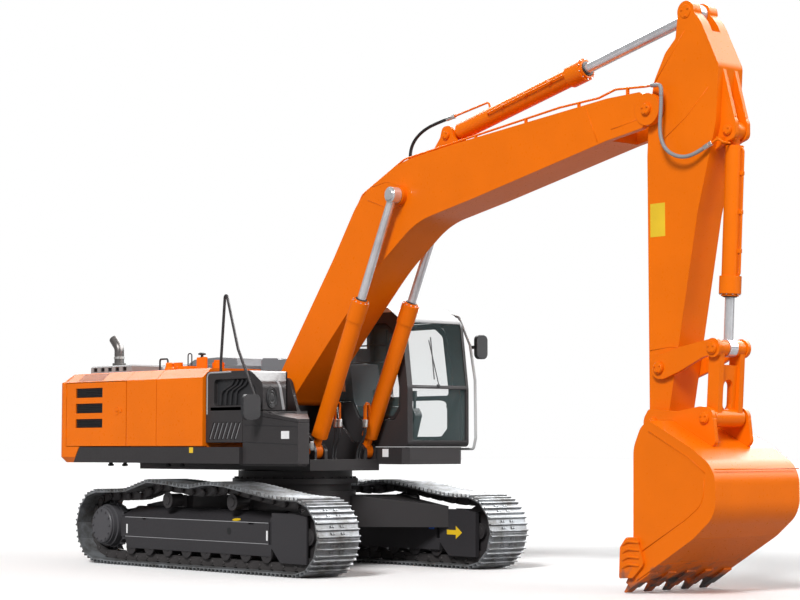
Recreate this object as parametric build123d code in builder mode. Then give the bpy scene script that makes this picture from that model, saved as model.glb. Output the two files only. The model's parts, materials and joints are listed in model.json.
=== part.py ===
"""Crawler excavator of the 33-tonne class: long undercarriage, house, boom, arm and bucket.

Millimetres. +X points forward over the bucket, +Y to the cab side, +Z up. The origin is on the
ground, on the swing axis. Side outlines are drawn in X, Z and pulled out between two Y planes.
"""

import os
from math import atan2, hypot, pi, tan

from build123d import *

os.makedirs("parts", exist_ok=True)

# ---- driving dimensions -------------------------------------------------------------------
SIDES = {"right": -1, "left": 1}

# tracks
TUMBLERS = 4050  # idler axle to sprocket axle
GAUGE = 2590  # between the track centre lines
SHOE_WIDTH = 600
SHOES = 48
GROUSER = 34  # groove between two shoes
SHOE_DEPTH = 46  # grouser tip to the inside of the shoe plate
CHAIN_DEPTH = 147  # grouser tip to the inside of the link rail
IDLER_X, IDLER_Z, IDLER_TIP = TUMBLERS / 2, 445, 445
SPROCKET_X, SPROCKET_Z, SPROCKET_TIP = -TUMBLERS / 2, 470, 455
SPROCKET_TEETH = 21
CARRIER_X = (-700, 615)
CARRIER_Z, CARRIER_R = 806, 78
ROLLER_X = [-1480 + i * 395 for i in range(8)]
ROLLER_R = 82
ROLLER_Z = CHAIN_DEPTH + ROLLER_R + 2
BEAM_IN, BEAM_OUT = 1130, 1425  # side frame, distances from the middle
BEAM_LOW, DECK_HIGH = 342, 715

HUB_R = 745
TOW_X, TOW_HOLE = 822, 32  # shackle holes: distance from the swing axis, radius

# house
HALF_WIDTH = 1495
SKIRT_LOW, SKIRT_HIGH = 1253, 1447
TAIL_LOW = 1250  # underside of the counterweight
SIDE_HIGH, ROOF = 2270, 2385
TAIL_X = -3300
DOOR_X = (-2885, -1495)
SHELL = 45  # thickness of doors and covers
CAB_X, CAB_Y = (-260, 1530), (500, 1490)
CAB_FLOOR, CAB_TOP = 1450, 3140
CAB_BASE = 1240  # underside of the deck that carries the cab
CAB_WALL = 60

# front: joint centres in X, Z
FOOT = (140, 2120)
ARM_PIN = (6120, 4870)
BUCKET_PIN = (6185, 1690)
BOOM_CYLINDER = ((875, 1400), (2300, 4330))
ARM_CYLINDER = ((2900, 4985), (6575, 5815))
BUCKET_CYLINDER = ((7050, 4570), (6930, 2420))
ROCKER_PIN = (6230, 2240)
LINK_PIN = BUCKET_CYLINDER[1]
EAR_PIN = (6867, 1735)
BOOM_HALF, ARM_HALF, BUCKET_HALF = 265, 185, 630
BOOM_CYLINDER_Y = 387
BOOM_TOP = [(2300, 4728), (3200, 4832), (5560, 5050), (6060, 5060)]  # upper edge past the bend

# hydraulic lines
PIPE, HOSE_FITTING = 12, 20  # radii
BOOM_HOSE, CYLINDER_HOSE, ARM_HOSE = 12, 19, 21  # radii
HOSE_TOP, HOSE_FLOOR = 1680, 1320  # ends of the boom cylinders' hoses

# hydraulic cylinders: radii, lengths, eye width, and from the foot pin: start and end of the barrel
BOOM_BORE = {
    "barrel": 97, "bore": 80, "rod": 50, "gland": 106, "gland_length": 270,
    "eye": 92, "width": 106, "neck": 190, "length": 1955,
}
ARM_BORE = {
    "barrel": 102, "bore": 84, "rod": 57, "gland": 124, "gland_length": 240,
    "eye": 88, "width": 110, "neck": 150, "length": 2180,
}
BUCKET_BORE = {
    "barrel": 90, "bore": 74, "rod": 47, "gland": 110, "gland_length": 200,
    "eye": 88, "width": 110, "neck": 150, "length": 1640,
}
FIT = 0.4  # radial play of a pin in its eye
ARM_PIN_R = 62


# ---- helpers ------------------------------------------------------------------------------
def save(part, name):
    """Label a finished piece with its node name and write its STEP file."""
    part.label = name
    export_step(part, f"parts/{name}.step")


def block(x, y, z, mode=Mode.ADD):
    """Box between (low, high) pairs, in the part being built."""
    spans = (x, y, z)
    with Locations(tuple((low + high) / 2 for low, high in spans)):
        Box(*(high - low for low, high in spans), mode=mode)


def plate(points, y, mode=Mode.ADD):
    """Prism of a straight-sided X, Z outline between two Y planes."""
    with BuildSketch(Plane.XZ.offset(-y[1])) as outline:
        with BuildLine():
            Polyline(*points, close=True)
        make_face()
    extrude(outline.sketch, amount=y[1] - y[0], mode=mode)


def slab(points, z, mode=Mode.ADD):
    """Prism of a straight-sided X, Y outline between two heights."""
    with BuildSketch(Plane.XY.offset(z[0])) as outline:
        with BuildLine():
            Polyline(*points, close=True)
        make_face()
    extrude(outline.sketch, amount=z[1] - z[0], mode=mode)


def corner_radii(points, radii):
    """Radii of a closed outline's corners, each cut down to what its two runs have room for."""
    if isinstance(radii, (int, float)):
        radii = [radii] * len(points)
    fitting = []
    for i, (x, z) in enumerate(points):
        before, after = points[i - 1], points[(i + 1) % len(points)]
        runs = hypot(x - before[0], z - before[1]), hypot(after[0] - x, after[1] - z)
        turn = atan2(after[1] - z, after[0] - x) - atan2(z - before[1], x - before[0])
        turn = abs((turn + pi) % (2 * pi) - pi)
        fitting.append(min(radii[i], 0.48 * min(runs) / tan(turn / 2)))
    return fitting


def rounded_plate(points, radii, y, mode=Mode.ADD):
    """Prism like plate(), each corner rounded by its radius."""
    with BuildSketch(Plane.XZ.offset(-y[1])) as outline:
        with BuildLine():
            FilletPolyline(*points, radius=corner_radii(points, radii), close=True)
        make_face()
    extrude(outline.sketch, amount=y[1] - y[0], mode=mode)


def drum(centre, radius, y, mode=Mode.ADD):
    """Cylinder across the machine, centred on an X, Z point, between two Y planes."""
    with Locations(Location((centre[0], (y[0] + y[1]) / 2, centre[1]), (90, 0, 0))):
        Cylinder(radius, y[1] - y[0], mode=mode)


def both_sides(y):
    """The same Y span on the right and on the left."""
    return [(-y[1], -y[0]), (y[0], y[1])]


def along(start, end, distance):
    """Point on the line from start to end at a distance from start."""
    length = hypot(end[0] - start[0], end[1] - start[1])
    return tuple(s + (e - s) * distance / length for s, e in zip(start, end))


def tube(start, end, span, radius, y, mode=Mode.ADD):
    """Round bar along the line from start to end (X, Z), over a span of distances from start."""
    direction = (end[0] - start[0], 0, end[1] - start[1])
    base = along(start, end, span[0])
    with Locations(Plane(origin=(base[0], y, base[1]), x_dir=(0, 1, 0), z_dir=direction)):
        align = (Align.CENTER, Align.CENTER, Align.MIN)
        Cylinder(radius, span[1] - span[0], align=align, mode=mode)


def rail(points, radius, bend):
    """Bent round bar through points, added to the part being built."""
    with BuildLine() as path:
        FilletPolyline(*points, radius=bend)
    start = path.wire()
    with BuildSketch(Plane(origin=start @ 0, z_dir=start % 0)) as ring:
        Circle(radius)
    sweep(ring.sketch, path=path.wire())


# ---- tracks -------------------------------------------------------------------------------
with BuildLine(Plane.XZ) as belt:
    lift = (SPROCKET_X, SPROCKET_Z - SPROCKET_TIP)
    ground = Polyline((IDLER_X, 0), (ROLLER_X[0] - 100, 0), lift)
    rear = ThreePointArc(
        ground @ 1,
        (SPROCKET_X - SPROCKET_TIP, SPROCKET_Z),
        (SPROCKET_X, SPROCKET_Z + SPROCKET_TIP),
    )
    top = FilletPolyline(
        rear @ 1,
        (-1400, 935),
        (-900, 1062),
        (-480, 1040),
        (-60, 996),
        (360, 1052),
        (740, 1025),
        (1250, 950),
        (1700, 895),
        (IDLER_X, IDLER_Z + IDLER_TIP),
        radius=260,
    )
    ThreePointArc(top @ 1, (IDLER_X + IDLER_TIP, IDLER_Z), ground @ 0)
belt_path = belt.wire()


def belt_point(turn, depth):
    """X, Z of the point at a fraction of the loop, a depth inside the grouser tips.

    The loop runs rearwards along the ground, so its inside lies on the right of the run.
    """
    at, run = belt_path.position_at(turn), belt_path.tangent_at(turn)
    return (at.X + run.Z * depth, at.Z - run.X * depth)


def belt_loop(depth, steps):
    """Closed X, Z outline of the loop drawn in by a depth, with some straight steps to a shoe."""
    count = SHOES * steps
    return [belt_point(i / count, depth) for i in range(count)]


# each shoe is flat, with a groove to the next one
shoe_outline = [
    belt_point((i + part) / SHOES, depth)
    for i in range(SHOES)
    for part, depth in ((0.0, GROUSER), (0.07, 0), (0.93, 0))
]

for side, sign in SIDES.items():
    middle = sign * GAUGE / 2
    with BuildPart() as track:
        plate(shoe_outline, (middle - SHOE_WIDTH / 2, middle + SHOE_WIDTH / 2))
        hole = (middle - SHOE_WIDTH, middle + SHOE_WIDTH)
        plate(belt_loop(SHOE_DEPTH, 1), hole, mode=Mode.SUBTRACT)
    # two rows of links carry the shoes; the sprocket's teeth run between them
    with BuildPart() as links:
        for row in ((-98, -46), (46, 98)):
            span = (middle + row[0], middle + row[1])
            plate(belt_loop(SHOE_DEPTH - 8, 1), span)
            plate(belt_loop(CHAIN_DEPTH, 3), span, mode=Mode.SUBTRACT)
    with BuildPart() as whole_track:
        add(track.part)
        add(links.part)
    save(whole_track.part, f"track_{side}")

# ---- wheels of the tracks -----------------------------------------------------------------
SPROCKET_ROOT = SPROCKET_TIP - CHAIN_DEPTH - 2
for side, sign in SIDES.items():
    middle = sign * GAUGE / 2

    def across(low, high):
        """Y span counted outwards from the middle of this track."""
        ends = (middle + sign * low, middle + sign * high)
        return (min(ends), max(ends))

    with BuildPart() as sprocket:
        with BuildSketch(Plane.XZ.offset(-(middle + 32))) as disc:
            with Locations((SPROCKET_X, SPROCKET_Z)):
                Circle(SPROCKET_ROOT - 30)
                with PolarLocations(SPROCKET_ROOT - 45, SPROCKET_TEETH):
                    Trapezoid(62, 86, 72, rotation=-90)
        extrude(disc.sketch, amount=64)
        drum((SPROCKET_X, SPROCKET_Z), 262, across(-70, 120))
        drum((SPROCKET_X, SPROCKET_Z), 238, across(120, 170))
        drum((SPROCKET_X, SPROCKET_Z), 222, across(170, 205))
        chamfer(sprocket.edges().filter_by(GeomType.CIRCLE).sort_by(Axis.Y)[-1 if sign > 0 else 0], 12)
        with Locations(Location((SPROCKET_X, middle + sign * 205, SPROCKET_Z), (90, 0, 0))):
            with PolarLocations(188, 12):
                Cylinder(13, 30)
    save(sprocket.part, f"sprocket_{side}")

    with BuildPart() as idler:
        drum((IDLER_X, IDLER_Z), IDLER_TIP - CHAIN_DEPTH - 2, across(-96, 96))
        drum((IDLER_X, IDLER_Z), IDLER_TIP - CHAIN_DEPTH + 24, across(-40, 40))
        for face in ((-96, -50), (50, 96)):
            drum((IDLER_X, IDLER_Z), 235, across(*face), mode=Mode.SUBTRACT)
            drum((IDLER_X, IDLER_Z), 95, across(*face))
        drum((IDLER_X, IDLER_Z), 60, across(-102, 102))
    save(idler.part, f"idler_{side}")

    with BuildPart() as rollers:
        for x in ROLLER_X:
            drum((x, ROLLER_Z), ROLLER_R, across(-96, 96))
            for flange in ((-122, -101), (101, 122)):
                drum((x, ROLLER_Z), ROLLER_R + 22, across(*flange))
            drum((x, ROLLER_Z), 42, across(-126, 126))
        for x in CARRIER_X:
            drum((x, CARRIER_Z), CARRIER_R, across(-80, 100))
            drum((x, CARRIER_Z), CARRIER_R + 20, across(101, 118))
            drum((x, CARRIER_Z), 52, across(-80, 128))
            block((x - 62, x + 62), across(-125, -80), (DECK_HIGH + 1, CARRIER_Z + 62))
    save(rollers.part, f"track_rollers_{side}")

    # side frame: box beam with a sloping deck, roller guards, sprocket plate and idler yoke
    with BuildPart() as frame:
        beam = [
            (sign * BEAM_IN, BEAM_LOW),
            (sign * BEAM_OUT, BEAM_LOW),
            (sign * BEAM_OUT, 585),
            (sign * (BEAM_OUT - 75), 625),
            (sign * (BEAM_IN + 40), DECK_HIGH),
            (sign * BEAM_IN, DECK_HIGH),
        ]
        with BuildSketch(Plane.YZ.offset(-1690)) as section:
            with BuildLine():
                Polyline(*beam, close=True)
            make_face()
        extrude(section.sketch, amount=3030)
        # outer and inner guard rails hold the roller shafts
        for guard in ((-165, -128), (128, 130)):
            plate([(-1600, BEAM_LOW), (-1560, 205), (1385, 205), (1395, BEAM_LOW)], across(*guard))
        # yoke: two cheeks beside the idler, each with a cut lower corner
        for cheek in ((-165, -106), (106, 132)):
            plate(
                [(1395, 300), (1560, 140), (2035, 140), (2035, 670), (1800, 700), (1395, 700)],
                across(*cheek),
            )
        block((1340, 1640), across(-106, 106), (BEAM_LOW, 640))
        # motor bracket at the sprocket
        bracket = [(-1690, 330), (-1690, 700), (-1820, 680), (-2250, 640), (-2250, 320), (-1790, 300)]
        plate(bracket, across(-165, -125))
        for x, half in ((-1180, 45), (1000, 55)):
            block((x - half, x + half), across(90, 132), (560, 588), mode=Mode.SUBTRACT)
    save(frame.part, f"track_frame_{side}")

# ---- centre frame and slewing ring ----------------------------------------------------------
LEG_PLAN = [(80, 420), (420, 200), (700, 330), (1560, BEAM_IN), (560, BEAM_IN)]
LEG_VOID = [(330, 480), (620, 440), (1440, BEAM_IN - 30), (640, BEAM_IN - 30)]
with BuildPart() as center_frame:
    with Locations((0, 0, 700)):
        Cylinder(HUB_R, 440)
    with Locations((0, 0, 960)):
        Cylinder(690, 80)
    for sx in (-1, 1):
        for sy in (-1, 1):
            # a leg runs from the hub out to the side frame, and its top falls outwards
            with BuildPart(mode=Mode.PRIVATE) as leg:
                slab([(sx * x, sy * y) for x, y in LEG_PLAN], (480, 860))
                slope = [(sx * 620, 870), (sx * 1700, 870), (sx * 1700, 715)]
                plate(slope, (-1300, 1300), mode=Mode.SUBTRACT)
            add(leg.part)
    for sx in (-1, 1):
        for sy in (-1, 1):
            slab([(sx * x, sy * y) for x, y in LEG_VOID], (505, 715), mode=Mode.SUBTRACT)
    with Locations((0, 0, 1000)):
        Cylinder(560, 1300, mode=Mode.SUBTRACT)
    # belly plate closes the hub
    with Locations((0, 0, 490)):
        Cylinder(600, 20)
save(center_frame.part, "center_frame")

# flat shackle lugs in the middle of the hub, front and rear, with an upright hole each
with BuildPart() as tow_lugs:
    with BuildSketch(Plane.XY.offset(565)) as lugs:
        for x in (-TOW_X, TOW_X):
            with Locations((x, 0)):
                Circle(80)
            with Locations((x * 0.94, 0)):
                Rectangle(120, 160)
        Circle(HUB_R + 0.3, mode=Mode.SUBTRACT)
        with Locations((-TOW_X, 0), (TOW_X, 0)):
            Circle(TOW_HOLE, mode=Mode.SUBTRACT)
    extrude(lugs.sketch, amount=50)
save(tow_lugs.part, "tow_lugs")

with BuildPart() as swing_bearing:
    with Locations((0, 0, 1035)):
        Cylinder(770, 68)
    with Locations((0, 0, 1115)):
        Cylinder(700, 92)
    with Locations((0, 0, 1035)):
        with PolarLocations(735, 36):
            with Locations((0, 0, 43)):
                Cylinder(14, 20)
    with Locations((0, 0, 1080)):
        Cylinder(560, 240, mode=Mode.SUBTRACT)
save(swing_bearing.part, "swing_bearing")

# ---- house frame --------------------------------------------------------------------------
WEB_OUTLINE = [
    (-900, 1262), (-900, 1560), (-120, 2270), (290, 2290), (400, 2000), (520, 1720), (770, 1500),
    (860, 1515), (985, 1420), (985, 1262),
]
CHEEK_OUTLINE = [(700, 1200), (730, 1400), (810, 1510), (940, 1510), (985, 1400), (985, 1200)]
SKIRT_PLAN = {
    "right": [(-2560, -1), (-2560, -0.375), (860, -0.375), (860, -1)],
    "left": [(-2560, 1), (-2560, 0.31), (-300, 0.31), (-300, 1)],
}
HOSE_GLANDS = [(980, 205), (985, 165)]  # X, distance from the middle
CAB_DECK = [
    (-302, 486), (1440, 486), (1500, 560), (1500, 1370), (1389, HALF_WIDTH - 4), (-302, HALF_WIDTH - 4),
]
with BuildPart() as swing_frame:
    # floor plate over the slewing ring
    block((-2560, 1010), (-570, 495), (1166, 1300))
    # glands of the boom cylinders' hoses
    for x, y in HOSE_GLANDS:
        with Locations((x, y, HOSE_FLOOR - 15), (x, -y, HOSE_FLOOR - 15)):
            Cylinder(18, 30)
    # the two high webs hold the boom foot and the boom cylinders
    for web in both_sides((285, 330)):
        rounded_plate(WEB_OUTLINE, [20, 60, 120, 110, 200, 200, 60, 60, 60, 20], web)
    for cheek in both_sides((446, 478)):
        rounded_plate(CHEEK_OUTLINE, [10, 60, 60, 60, 60, 10], cheek)
    for pin in both_sides((329, 490)):
        drum(BOOM_CYLINDER[0], 50, pin)
    drum(FOOT, 58, (-360, 360))
    # decks beside the floor plate, with the dark skirts as their edges
    for plan in SKIRT_PLAN.values():
        slab([(x, share * HALF_WIDTH) for x, share in plan], (SKIRT_LOW, SKIRT_LOW + 60))
    # tray that carries the tool box, its inner corner cut away in front of the boom cylinder
    slab([(800, -1430), (1880, -1430), (1880, -1300), (1240, -820), (800, -820)], (1232, SKIRT_LOW))
    # deep deck under the cab, its front corners cut
    slab(CAB_DECK, (CAB_BASE, CAB_FLOOR - 4))
    for sign, end in ((-1, 862), (1, -302)):
        rim = sorted((sign * HALF_WIDTH, sign * (HALF_WIDTH - 60)))
        plate([(-2560, SKIRT_HIGH), (-2700, SKIRT_LOW), (end, SKIRT_LOW), (end, SKIRT_HIGH)], rim)
save(swing_frame.part, "swing_frame")

# ---- counterweight ------------------------------------------------------------------------
def tail_plan(inset):
    """Closed plan of the counterweight, drawn in by an inset at the rear and sides."""
    side, corner, rear = HALF_WIDTH - inset, TAIL_X + 190 + inset, TAIL_X + inset
    with BuildLine() as plan:
        Line((-2575, -side), (corner + 140, -side))
        RadiusArc((corner + 140, -side), (corner, -side + 165), 165)
        ThreePointArc((corner, -side + 165), (rear, 0), (corner, side - 165))
        RadiusArc((corner, side - 165), (corner + 140, side), 165)
        Polyline((corner + 140, side), (-2575, side), (-2575, -side))
    return plan.wire()


with BuildPart() as counterweight:
    # the bottom edge is drawn in
    with BuildSketch(Plane.XY.offset(TAIL_LOW)) as bottom_plan:
        make_face(tail_plan(50))
    with BuildSketch(Plane.XY.offset(TAIL_LOW + 70)) as lower_plan:
        make_face(tail_plan(0))
    loft([bottom_plan.sketch, lower_plan.sketch])
    extrude(lower_plan.sketch, amount=SIDE_HIGH - TAIL_LOW - 70)
    with BuildSketch(Plane.XY.offset(SIDE_HIGH)) as shoulder_plan:
        make_face(tail_plan(0))
    with BuildSketch(Plane.XY.offset(ROOF)) as roof_plan:
        make_face(tail_plan(120))
    loft([shoulder_plan.sketch, roof_plan.sketch])
    # the side doors and the engine bay bite into it above the skirt
    block((-2890, -2570), (-1600, 1600), (SKIRT_HIGH + 5, 2500), mode=Mode.SUBTRACT)
    notch = [(-2710, 1200), (-2710, 1253), (-2570, 1452), (-2500, 1452), (-2500, 1200)]
    for rim in both_sides((HALF_WIDTH - 62, 1600)):
        plate(notch, rim, mode=Mode.SUBTRACT)
save(counterweight.part, "counterweight")

# ---- engine, hood and covers ----------------------------------------------------------------
with BuildPart() as engine:
    block((-2480, -1640), (-780, 640), (1330, 2180))
save(engine.part, "engine")

DOOR_LOW = SKIRT_HIGH + 12
BEVEL_Y = HALF_WIDTH - 130  # where the bevelled shoulder meets the roof
RIGHT_SLOTS = [(2072, 2192), (1875, 1998), (1690, 1802)]
LEFT_SLOTS = [(1600 + i * 85, 1642 + i * 85) for i in range(7)]
for name, sign, slots, front in (
    ("pump_door", -1, RIGHT_SLOTS, -2035),
    ("radiator_door", 1, LEFT_SLOTS, -1700),
):
    with BuildPart() as door:
        skin = sorted((sign * HALF_WIDTH, sign * (HALF_WIDTH - SHELL)))
        block((DOOR_X[0] + 8, DOOR_X[1] - 6), skin, (DOOR_LOW, SIDE_HIGH - 8))
        recess = sorted((sign * (HALF_WIDTH - 25), sign * (HALF_WIDTH + 5)))
        for slot in slots:
            block((-2660, front), recess, slot, mode=Mode.SUBTRACT)
        with Locations(Location((-1620, sign * HALF_WIDTH, 1900), (90, 0, 0))):
            Cylinder(26, 16)
        with Locations(*((DOOR_X[0] + 5, sign * (HALF_WIDTH + 2), z) for z in (1620, 2140))):
            Cylinder(8, 120)
    save(door.part, name)

# fixed bulkheads round the engine bay carry the doors, the hood and the shoulders
with BuildPart() as bulkheads:
    for x in (-2560, -1530):
        block((x, x + 40), (-1330, 1330), (1327, 2330))
    block((-2520, -1530), (-1150, -1110), (1327, 2330))
    block((-2520, -1530), (1110, 1150), (1327, 2330))
save(bulkheads.part, "bulkheads")


def shoulder(sign, x, inner, thickness):
    """Bevelled roof edge along X, from the top of the side wall in to an inner Y."""
    bent = [
        (sign * HALF_WIDTH, SIDE_HIGH),
        (sign * BEVEL_Y, ROOF),
        (sign * inner, ROOF),
        (sign * inner, ROOF - thickness),
        (sign * (BEVEL_Y - 18), ROOF - thickness),
        (sign * (HALF_WIDTH - 60), SIDE_HIGH),
    ]
    with BuildSketch(Plane.YZ.offset(x[0])) as section:
        with BuildLine():
            Polyline(*bent, close=True)
        make_face()
    extrude(section.sketch, amount=x[1] - x[0])


HOOD_X, HOOD_Y = (-2870, -1450), (-640, 1060)
with BuildPart() as engine_hood:
    # a shallow lid with bevelled long edges, open below
    for inset, low, high, mode in ((0, ROOF - 40, 2500, Mode.ADD), (45, ROOF - 50, 2455, Mode.SUBTRACT)):
        with BuildSketch(Plane.YZ.offset(HOOD_X[0] + inset)) as section:
            with BuildLine():
                right, left = HOOD_Y[0] + inset, HOOD_Y[1] - inset
                Polyline(
                    (right, low), (right, high - 60), (right + 75, high),
                    (left - 95, high), (left, high - 60), (left, low), close=True,
                )
            make_face()
        extrude(section.sketch, amount=HOOD_X[1] - HOOD_X[0] - 2 * inset, mode=mode)
    # knuckles at the front edge
    for y in (-400, 800):
        drum((HOOD_X[1] + 3, 2500), 10, (y - 60, y + 60))
save(engine_hood.part, "engine_hood")

# roof over the pumps with its louvred box; the exhaust stands on it
LOUVRES = [-2790 + i * 170 for i in range(5)]
with BuildPart() as top_cover:
    shoulder(-1, (DOOR_X[0], -1490), 650, 45)
    block((-2850, -1900), (-1150, -680), (ROOF, 2490))
    chamfer(top_cover.edges().group_by(Axis.Z)[-1], 18)
    for x in LOUVRES:
        block((x, x + 90), (-1160, -1120), (ROOF + 30, ROOF + 80), mode=Mode.SUBTRACT)
save(top_cover.part, "top_cover")

with BuildPart() as exhaust:
    with BuildLine() as pipe_path:
        FilletPolyline((-2570, -900, 2531), (-2570, -900, 2730), (-2700, -900, 2850), radius=110)
    with BuildSketch(Plane(origin=(-2570, -900, 2531), z_dir=(0, 0, 1))) as pipe:
        Circle(62)
        Circle(54, mode=Mode.SUBTRACT)
    sweep(pipe.sketch, path=pipe_path.wire())
    with Locations((-2570, -900, 2511)):
        Cylinder(86, 40)
        Cylinder(54, 40, mode=Mode.SUBTRACT)
save(exhaust.part, "exhaust")

# hydraulic tank and fuel tank fill the right side in front of the pump door
TANKS = {"hydraulic_tank": (-1485, -840), "fuel_tank": (-830, 130)}
for name, (x0, x1) in TANKS.items():
    with BuildPart() as tank:
        with BuildSketch(Plane.YZ.offset(x0)) as section:
            with BuildLine():
                Polyline(
                    (-HALF_WIDTH, DOOR_LOW), (-HALF_WIDTH, SIDE_HIGH), (-BEVEL_Y, ROOF),
                    (-640, ROOF), (-640, 1330), (-HALF_WIDTH + 70, 1330), (-HALF_WIDTH + 70, DOOR_LOW),
                    close=True,
                )
            make_face()
        extrude(section.sketch, amount=x1 - x0)
        block((x0 + 25, x1 - 25), (-1340, -665), (1355, ROOF - 30), mode=Mode.SUBTRACT)
        if name == "hydraulic_tank":
            block((-1340, -1160), (-920, -880), (ROOF, 2500))
            with Locations((-1000, -900, ROOF + 30)):
                Cylinder(150, 60)
        else:
            with Locations((-380, -900, ROOF + 45)):
                Cylinder(75, 90)
            with Locations((-380, -900, ROOF + 105)):
                Cylinder(55, 30)
    save(tank.part, name)

# dark cover over the valves in front of the tank, stepped down to the tool box
COVER_Y = (-1450, -760)
with BuildPart() as front_cover:
    rounded_plate(
        [(138, 1500), (138, 2335), (1010, 2330), (1250, 2180), (1250, 1870), (860, 1870), (860, 1500)],
        [5, 60, 160, 110, 5, 5, 5],
        COVER_Y,
    )
    # the front corner towards the boom is cut back
    slab([(1300, -1155), (790, -761), (1300, -740)], (1400, 2400), mode=Mode.SUBTRACT)
    # recess in its flank and a row of slanted slots below it
    rounded_plate(
        [(300, 1930), (300, 2240), (960, 2240), (1120, 2130), (1120, 1930)],
        [40, 60, 90, 60, 40],
        (COVER_Y[0] - 10, COVER_Y[0] + 45),
        mode=Mode.SUBTRACT,
    )
    for i in range(7):
        x = 190 + i * 84
        slot = [(x, 1535), (x + 100, 1735), (x + 140, 1735), (x + 40, 1535)]
        plate(slot, (COVER_Y[0] - 10, COVER_Y[0] + 35), mode=Mode.SUBTRACT)
save(front_cover.part, "front_cover")

# tool box: its inner front corner is cut back in front of the boom cylinder
TOOL_PLAN = [(868, -1450), (1905, -1450), (1905, -1290), (1250, -800), (868, -800)]
TOOL_VOID = [(908, -1410), (1865, -1410), (1865, -1312), (1235, -840), (908, -840)]
LID_X = 1262
LID_TOP = [(LID_X, 1836), (1905, 1762)]
with BuildPart() as toolbox:
    slab(TOOL_PLAN, (SKIRT_LOW, 1862))
    slab(TOOL_VOID, (1293, 1820), mode=Mode.SUBTRACT)
    # the rim falls to the front under the lid
    mouth = [(LID_X - 8, 1900), (LID_X - 8, 1792), (1950, 1714), (1950, 1900)]
    plate(mouth, (-1500, -700), mode=Mode.SUBTRACT)
save(toolbox.part, "toolbox")

with BuildPart() as toolbox_lid:
    plate([(LID_X, 1796), (LID_X, 1836), (1905, 1762), (1905, 1722)], (-1450, -800))
    slab([(1950, -1324), (1200, -763), (1950, -763)], (1600, 1900), mode=Mode.SUBTRACT)
    # knuckles, each on a leaf
    for y in (-1300, -950):
        drum((LID_X, 1845), 6, (y - 50, y + 50))
        block((LID_X, LID_X + 40), (y - 50, y + 50), (1826, 1842))
save(toolbox_lid.part, "toolbox_lid")

# left side: shoulder over the radiator door, closed cover behind the cab
with BuildPart() as left_cover:
    shoulder(1, (DOOR_X[0], -306), 1068, 45)
    block((-1488, -306), (HALF_WIDTH - SHELL, HALF_WIDTH), (DOOR_LOW, SIDE_HIGH))
    block((-346, -306), (500, HALF_WIDTH - SHELL + 5), (DOOR_LOW, SIDE_HIGH))
save(left_cover.part, "left_cover")

# stepped cover between the tanks and the cab, behind the boom
MIDDLE_STEPS = [
    (-1430, 2340), (-1430, 2440), (-980, 2440), (-960, 2560), (-520, 2590), (-345, 2520), (-345, 2340),
]
with BuildPart() as middle_cover:
    plate(MIDDLE_STEPS, (470, 1060))
    block((-1430, -345), (-632, 470), (2340, 2400))
save(middle_cover.part, "middle_cover")

# ---- cab ----------------------------------------------------------------------------------
# side outline of the cab: raked windscreen, rounded roof corners
CAB_OUTLINE = [
    (CAB_X[0], CAB_FLOOR), (CAB_X[0], CAB_TOP), (1150, CAB_TOP), (1420, 2960),
    (CAB_X[1], 2150), (CAB_X[1], CAB_FLOOR),
]
CAB_RADII = [60, 120, 150, 130, 300, 60]
CAB_INSET = [
    (CAB_X[0] + CAB_WALL, CAB_FLOOR + 40), (CAB_X[0] + CAB_WALL, CAB_TOP - 70), (1130, CAB_TOP - 70),
    (1355, 2930), (CAB_X[1] - CAB_WALL, 2145), (CAB_X[1] - CAB_WALL, CAB_FLOOR + 40),
]
DOOR_OUTLINE = [(30, 1500), (30, 2990), (1000, 2990), (1180, 2860), (1300, 2150), (1300, 1760), (1010, 1500)]
DOOR_RADII = [40, 110, 120, 160, 60, 160, 160]

SIDE_WINDOW = [
    (-140, 1990), (-140, 2950), (1110, 2950), (1262, 2850), (1400, 2150), (1400, 1900), (1290, 1770),
    (620, 1770), (480, 1990),
]

with BuildPart() as cab_shell:
    rounded_plate(CAB_OUTLINE, CAB_RADII, CAB_Y)
    inside = (CAB_Y[0] + CAB_WALL, CAB_Y[1] - CAB_WALL)
    rounded_plate(CAB_INSET, [60, 80, 110, 100, 260, 60], inside, mode=Mode.SUBTRACT)
    # door opening on the left
    rounded_plate(DOOR_OUTLINE, DOOR_RADII, (CAB_Y[1] - 70, CAB_Y[1] + 10), mode=Mode.SUBTRACT)
    # one large side window on the right, lower in front
    right_wall = (CAB_Y[0] - 10, CAB_Y[0] + 70)
    rounded_plate(SIDE_WINDOW, 70, right_wall, mode=Mode.SUBTRACT)
    # windscreen and rear window
    block((1100, 1700), (CAB_Y[0] + 80, CAB_Y[1] - 40), (2190, 2950), mode=Mode.SUBTRACT)
    block((1440, 1700), (CAB_Y[0] + 80, CAB_Y[1] - 40), (1525, 2150), mode=Mode.SUBTRACT)
    block((CAB_X[0] - 10, CAB_X[0] + 90), (CAB_Y[0] + 130, CAB_Y[1] - 130), (2150, 2920), mode=Mode.SUBTRACT)
save(cab_shell.part, "cab_shell")

with BuildPart() as cab_glass:
    # right side pane, drawn in a little from the edge of its opening
    middle_x = sum(x for x, z in SIDE_WINDOW) / len(SIDE_WINDOW)
    middle_z = sum(z for x, z in SIDE_WINDOW) / len(SIDE_WINDOW)
    pane = [(middle_x + 0.992 * (x - middle_x), middle_z + 0.992 * (z - middle_z)) for x, z in SIDE_WINDOW]
    rounded_plate(pane, 66, (CAB_Y[0] + 24, CAB_Y[0] + 30))
    block((CAB_X[0] + 20, CAB_X[0] + 26), (CAB_Y[0] + 135, CAB_Y[1] - 135), (2155, 2915))
    glass_y = (CAB_Y[0] + 83, CAB_Y[1] - 43)
    plate([(1408, 2944), (1414, 2944), (1513, 2194), (1507, 2194)], glass_y)
    block((1500, 1506), glass_y, (1529, 2146))
save(cab_glass.part, "cab_glass")

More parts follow.
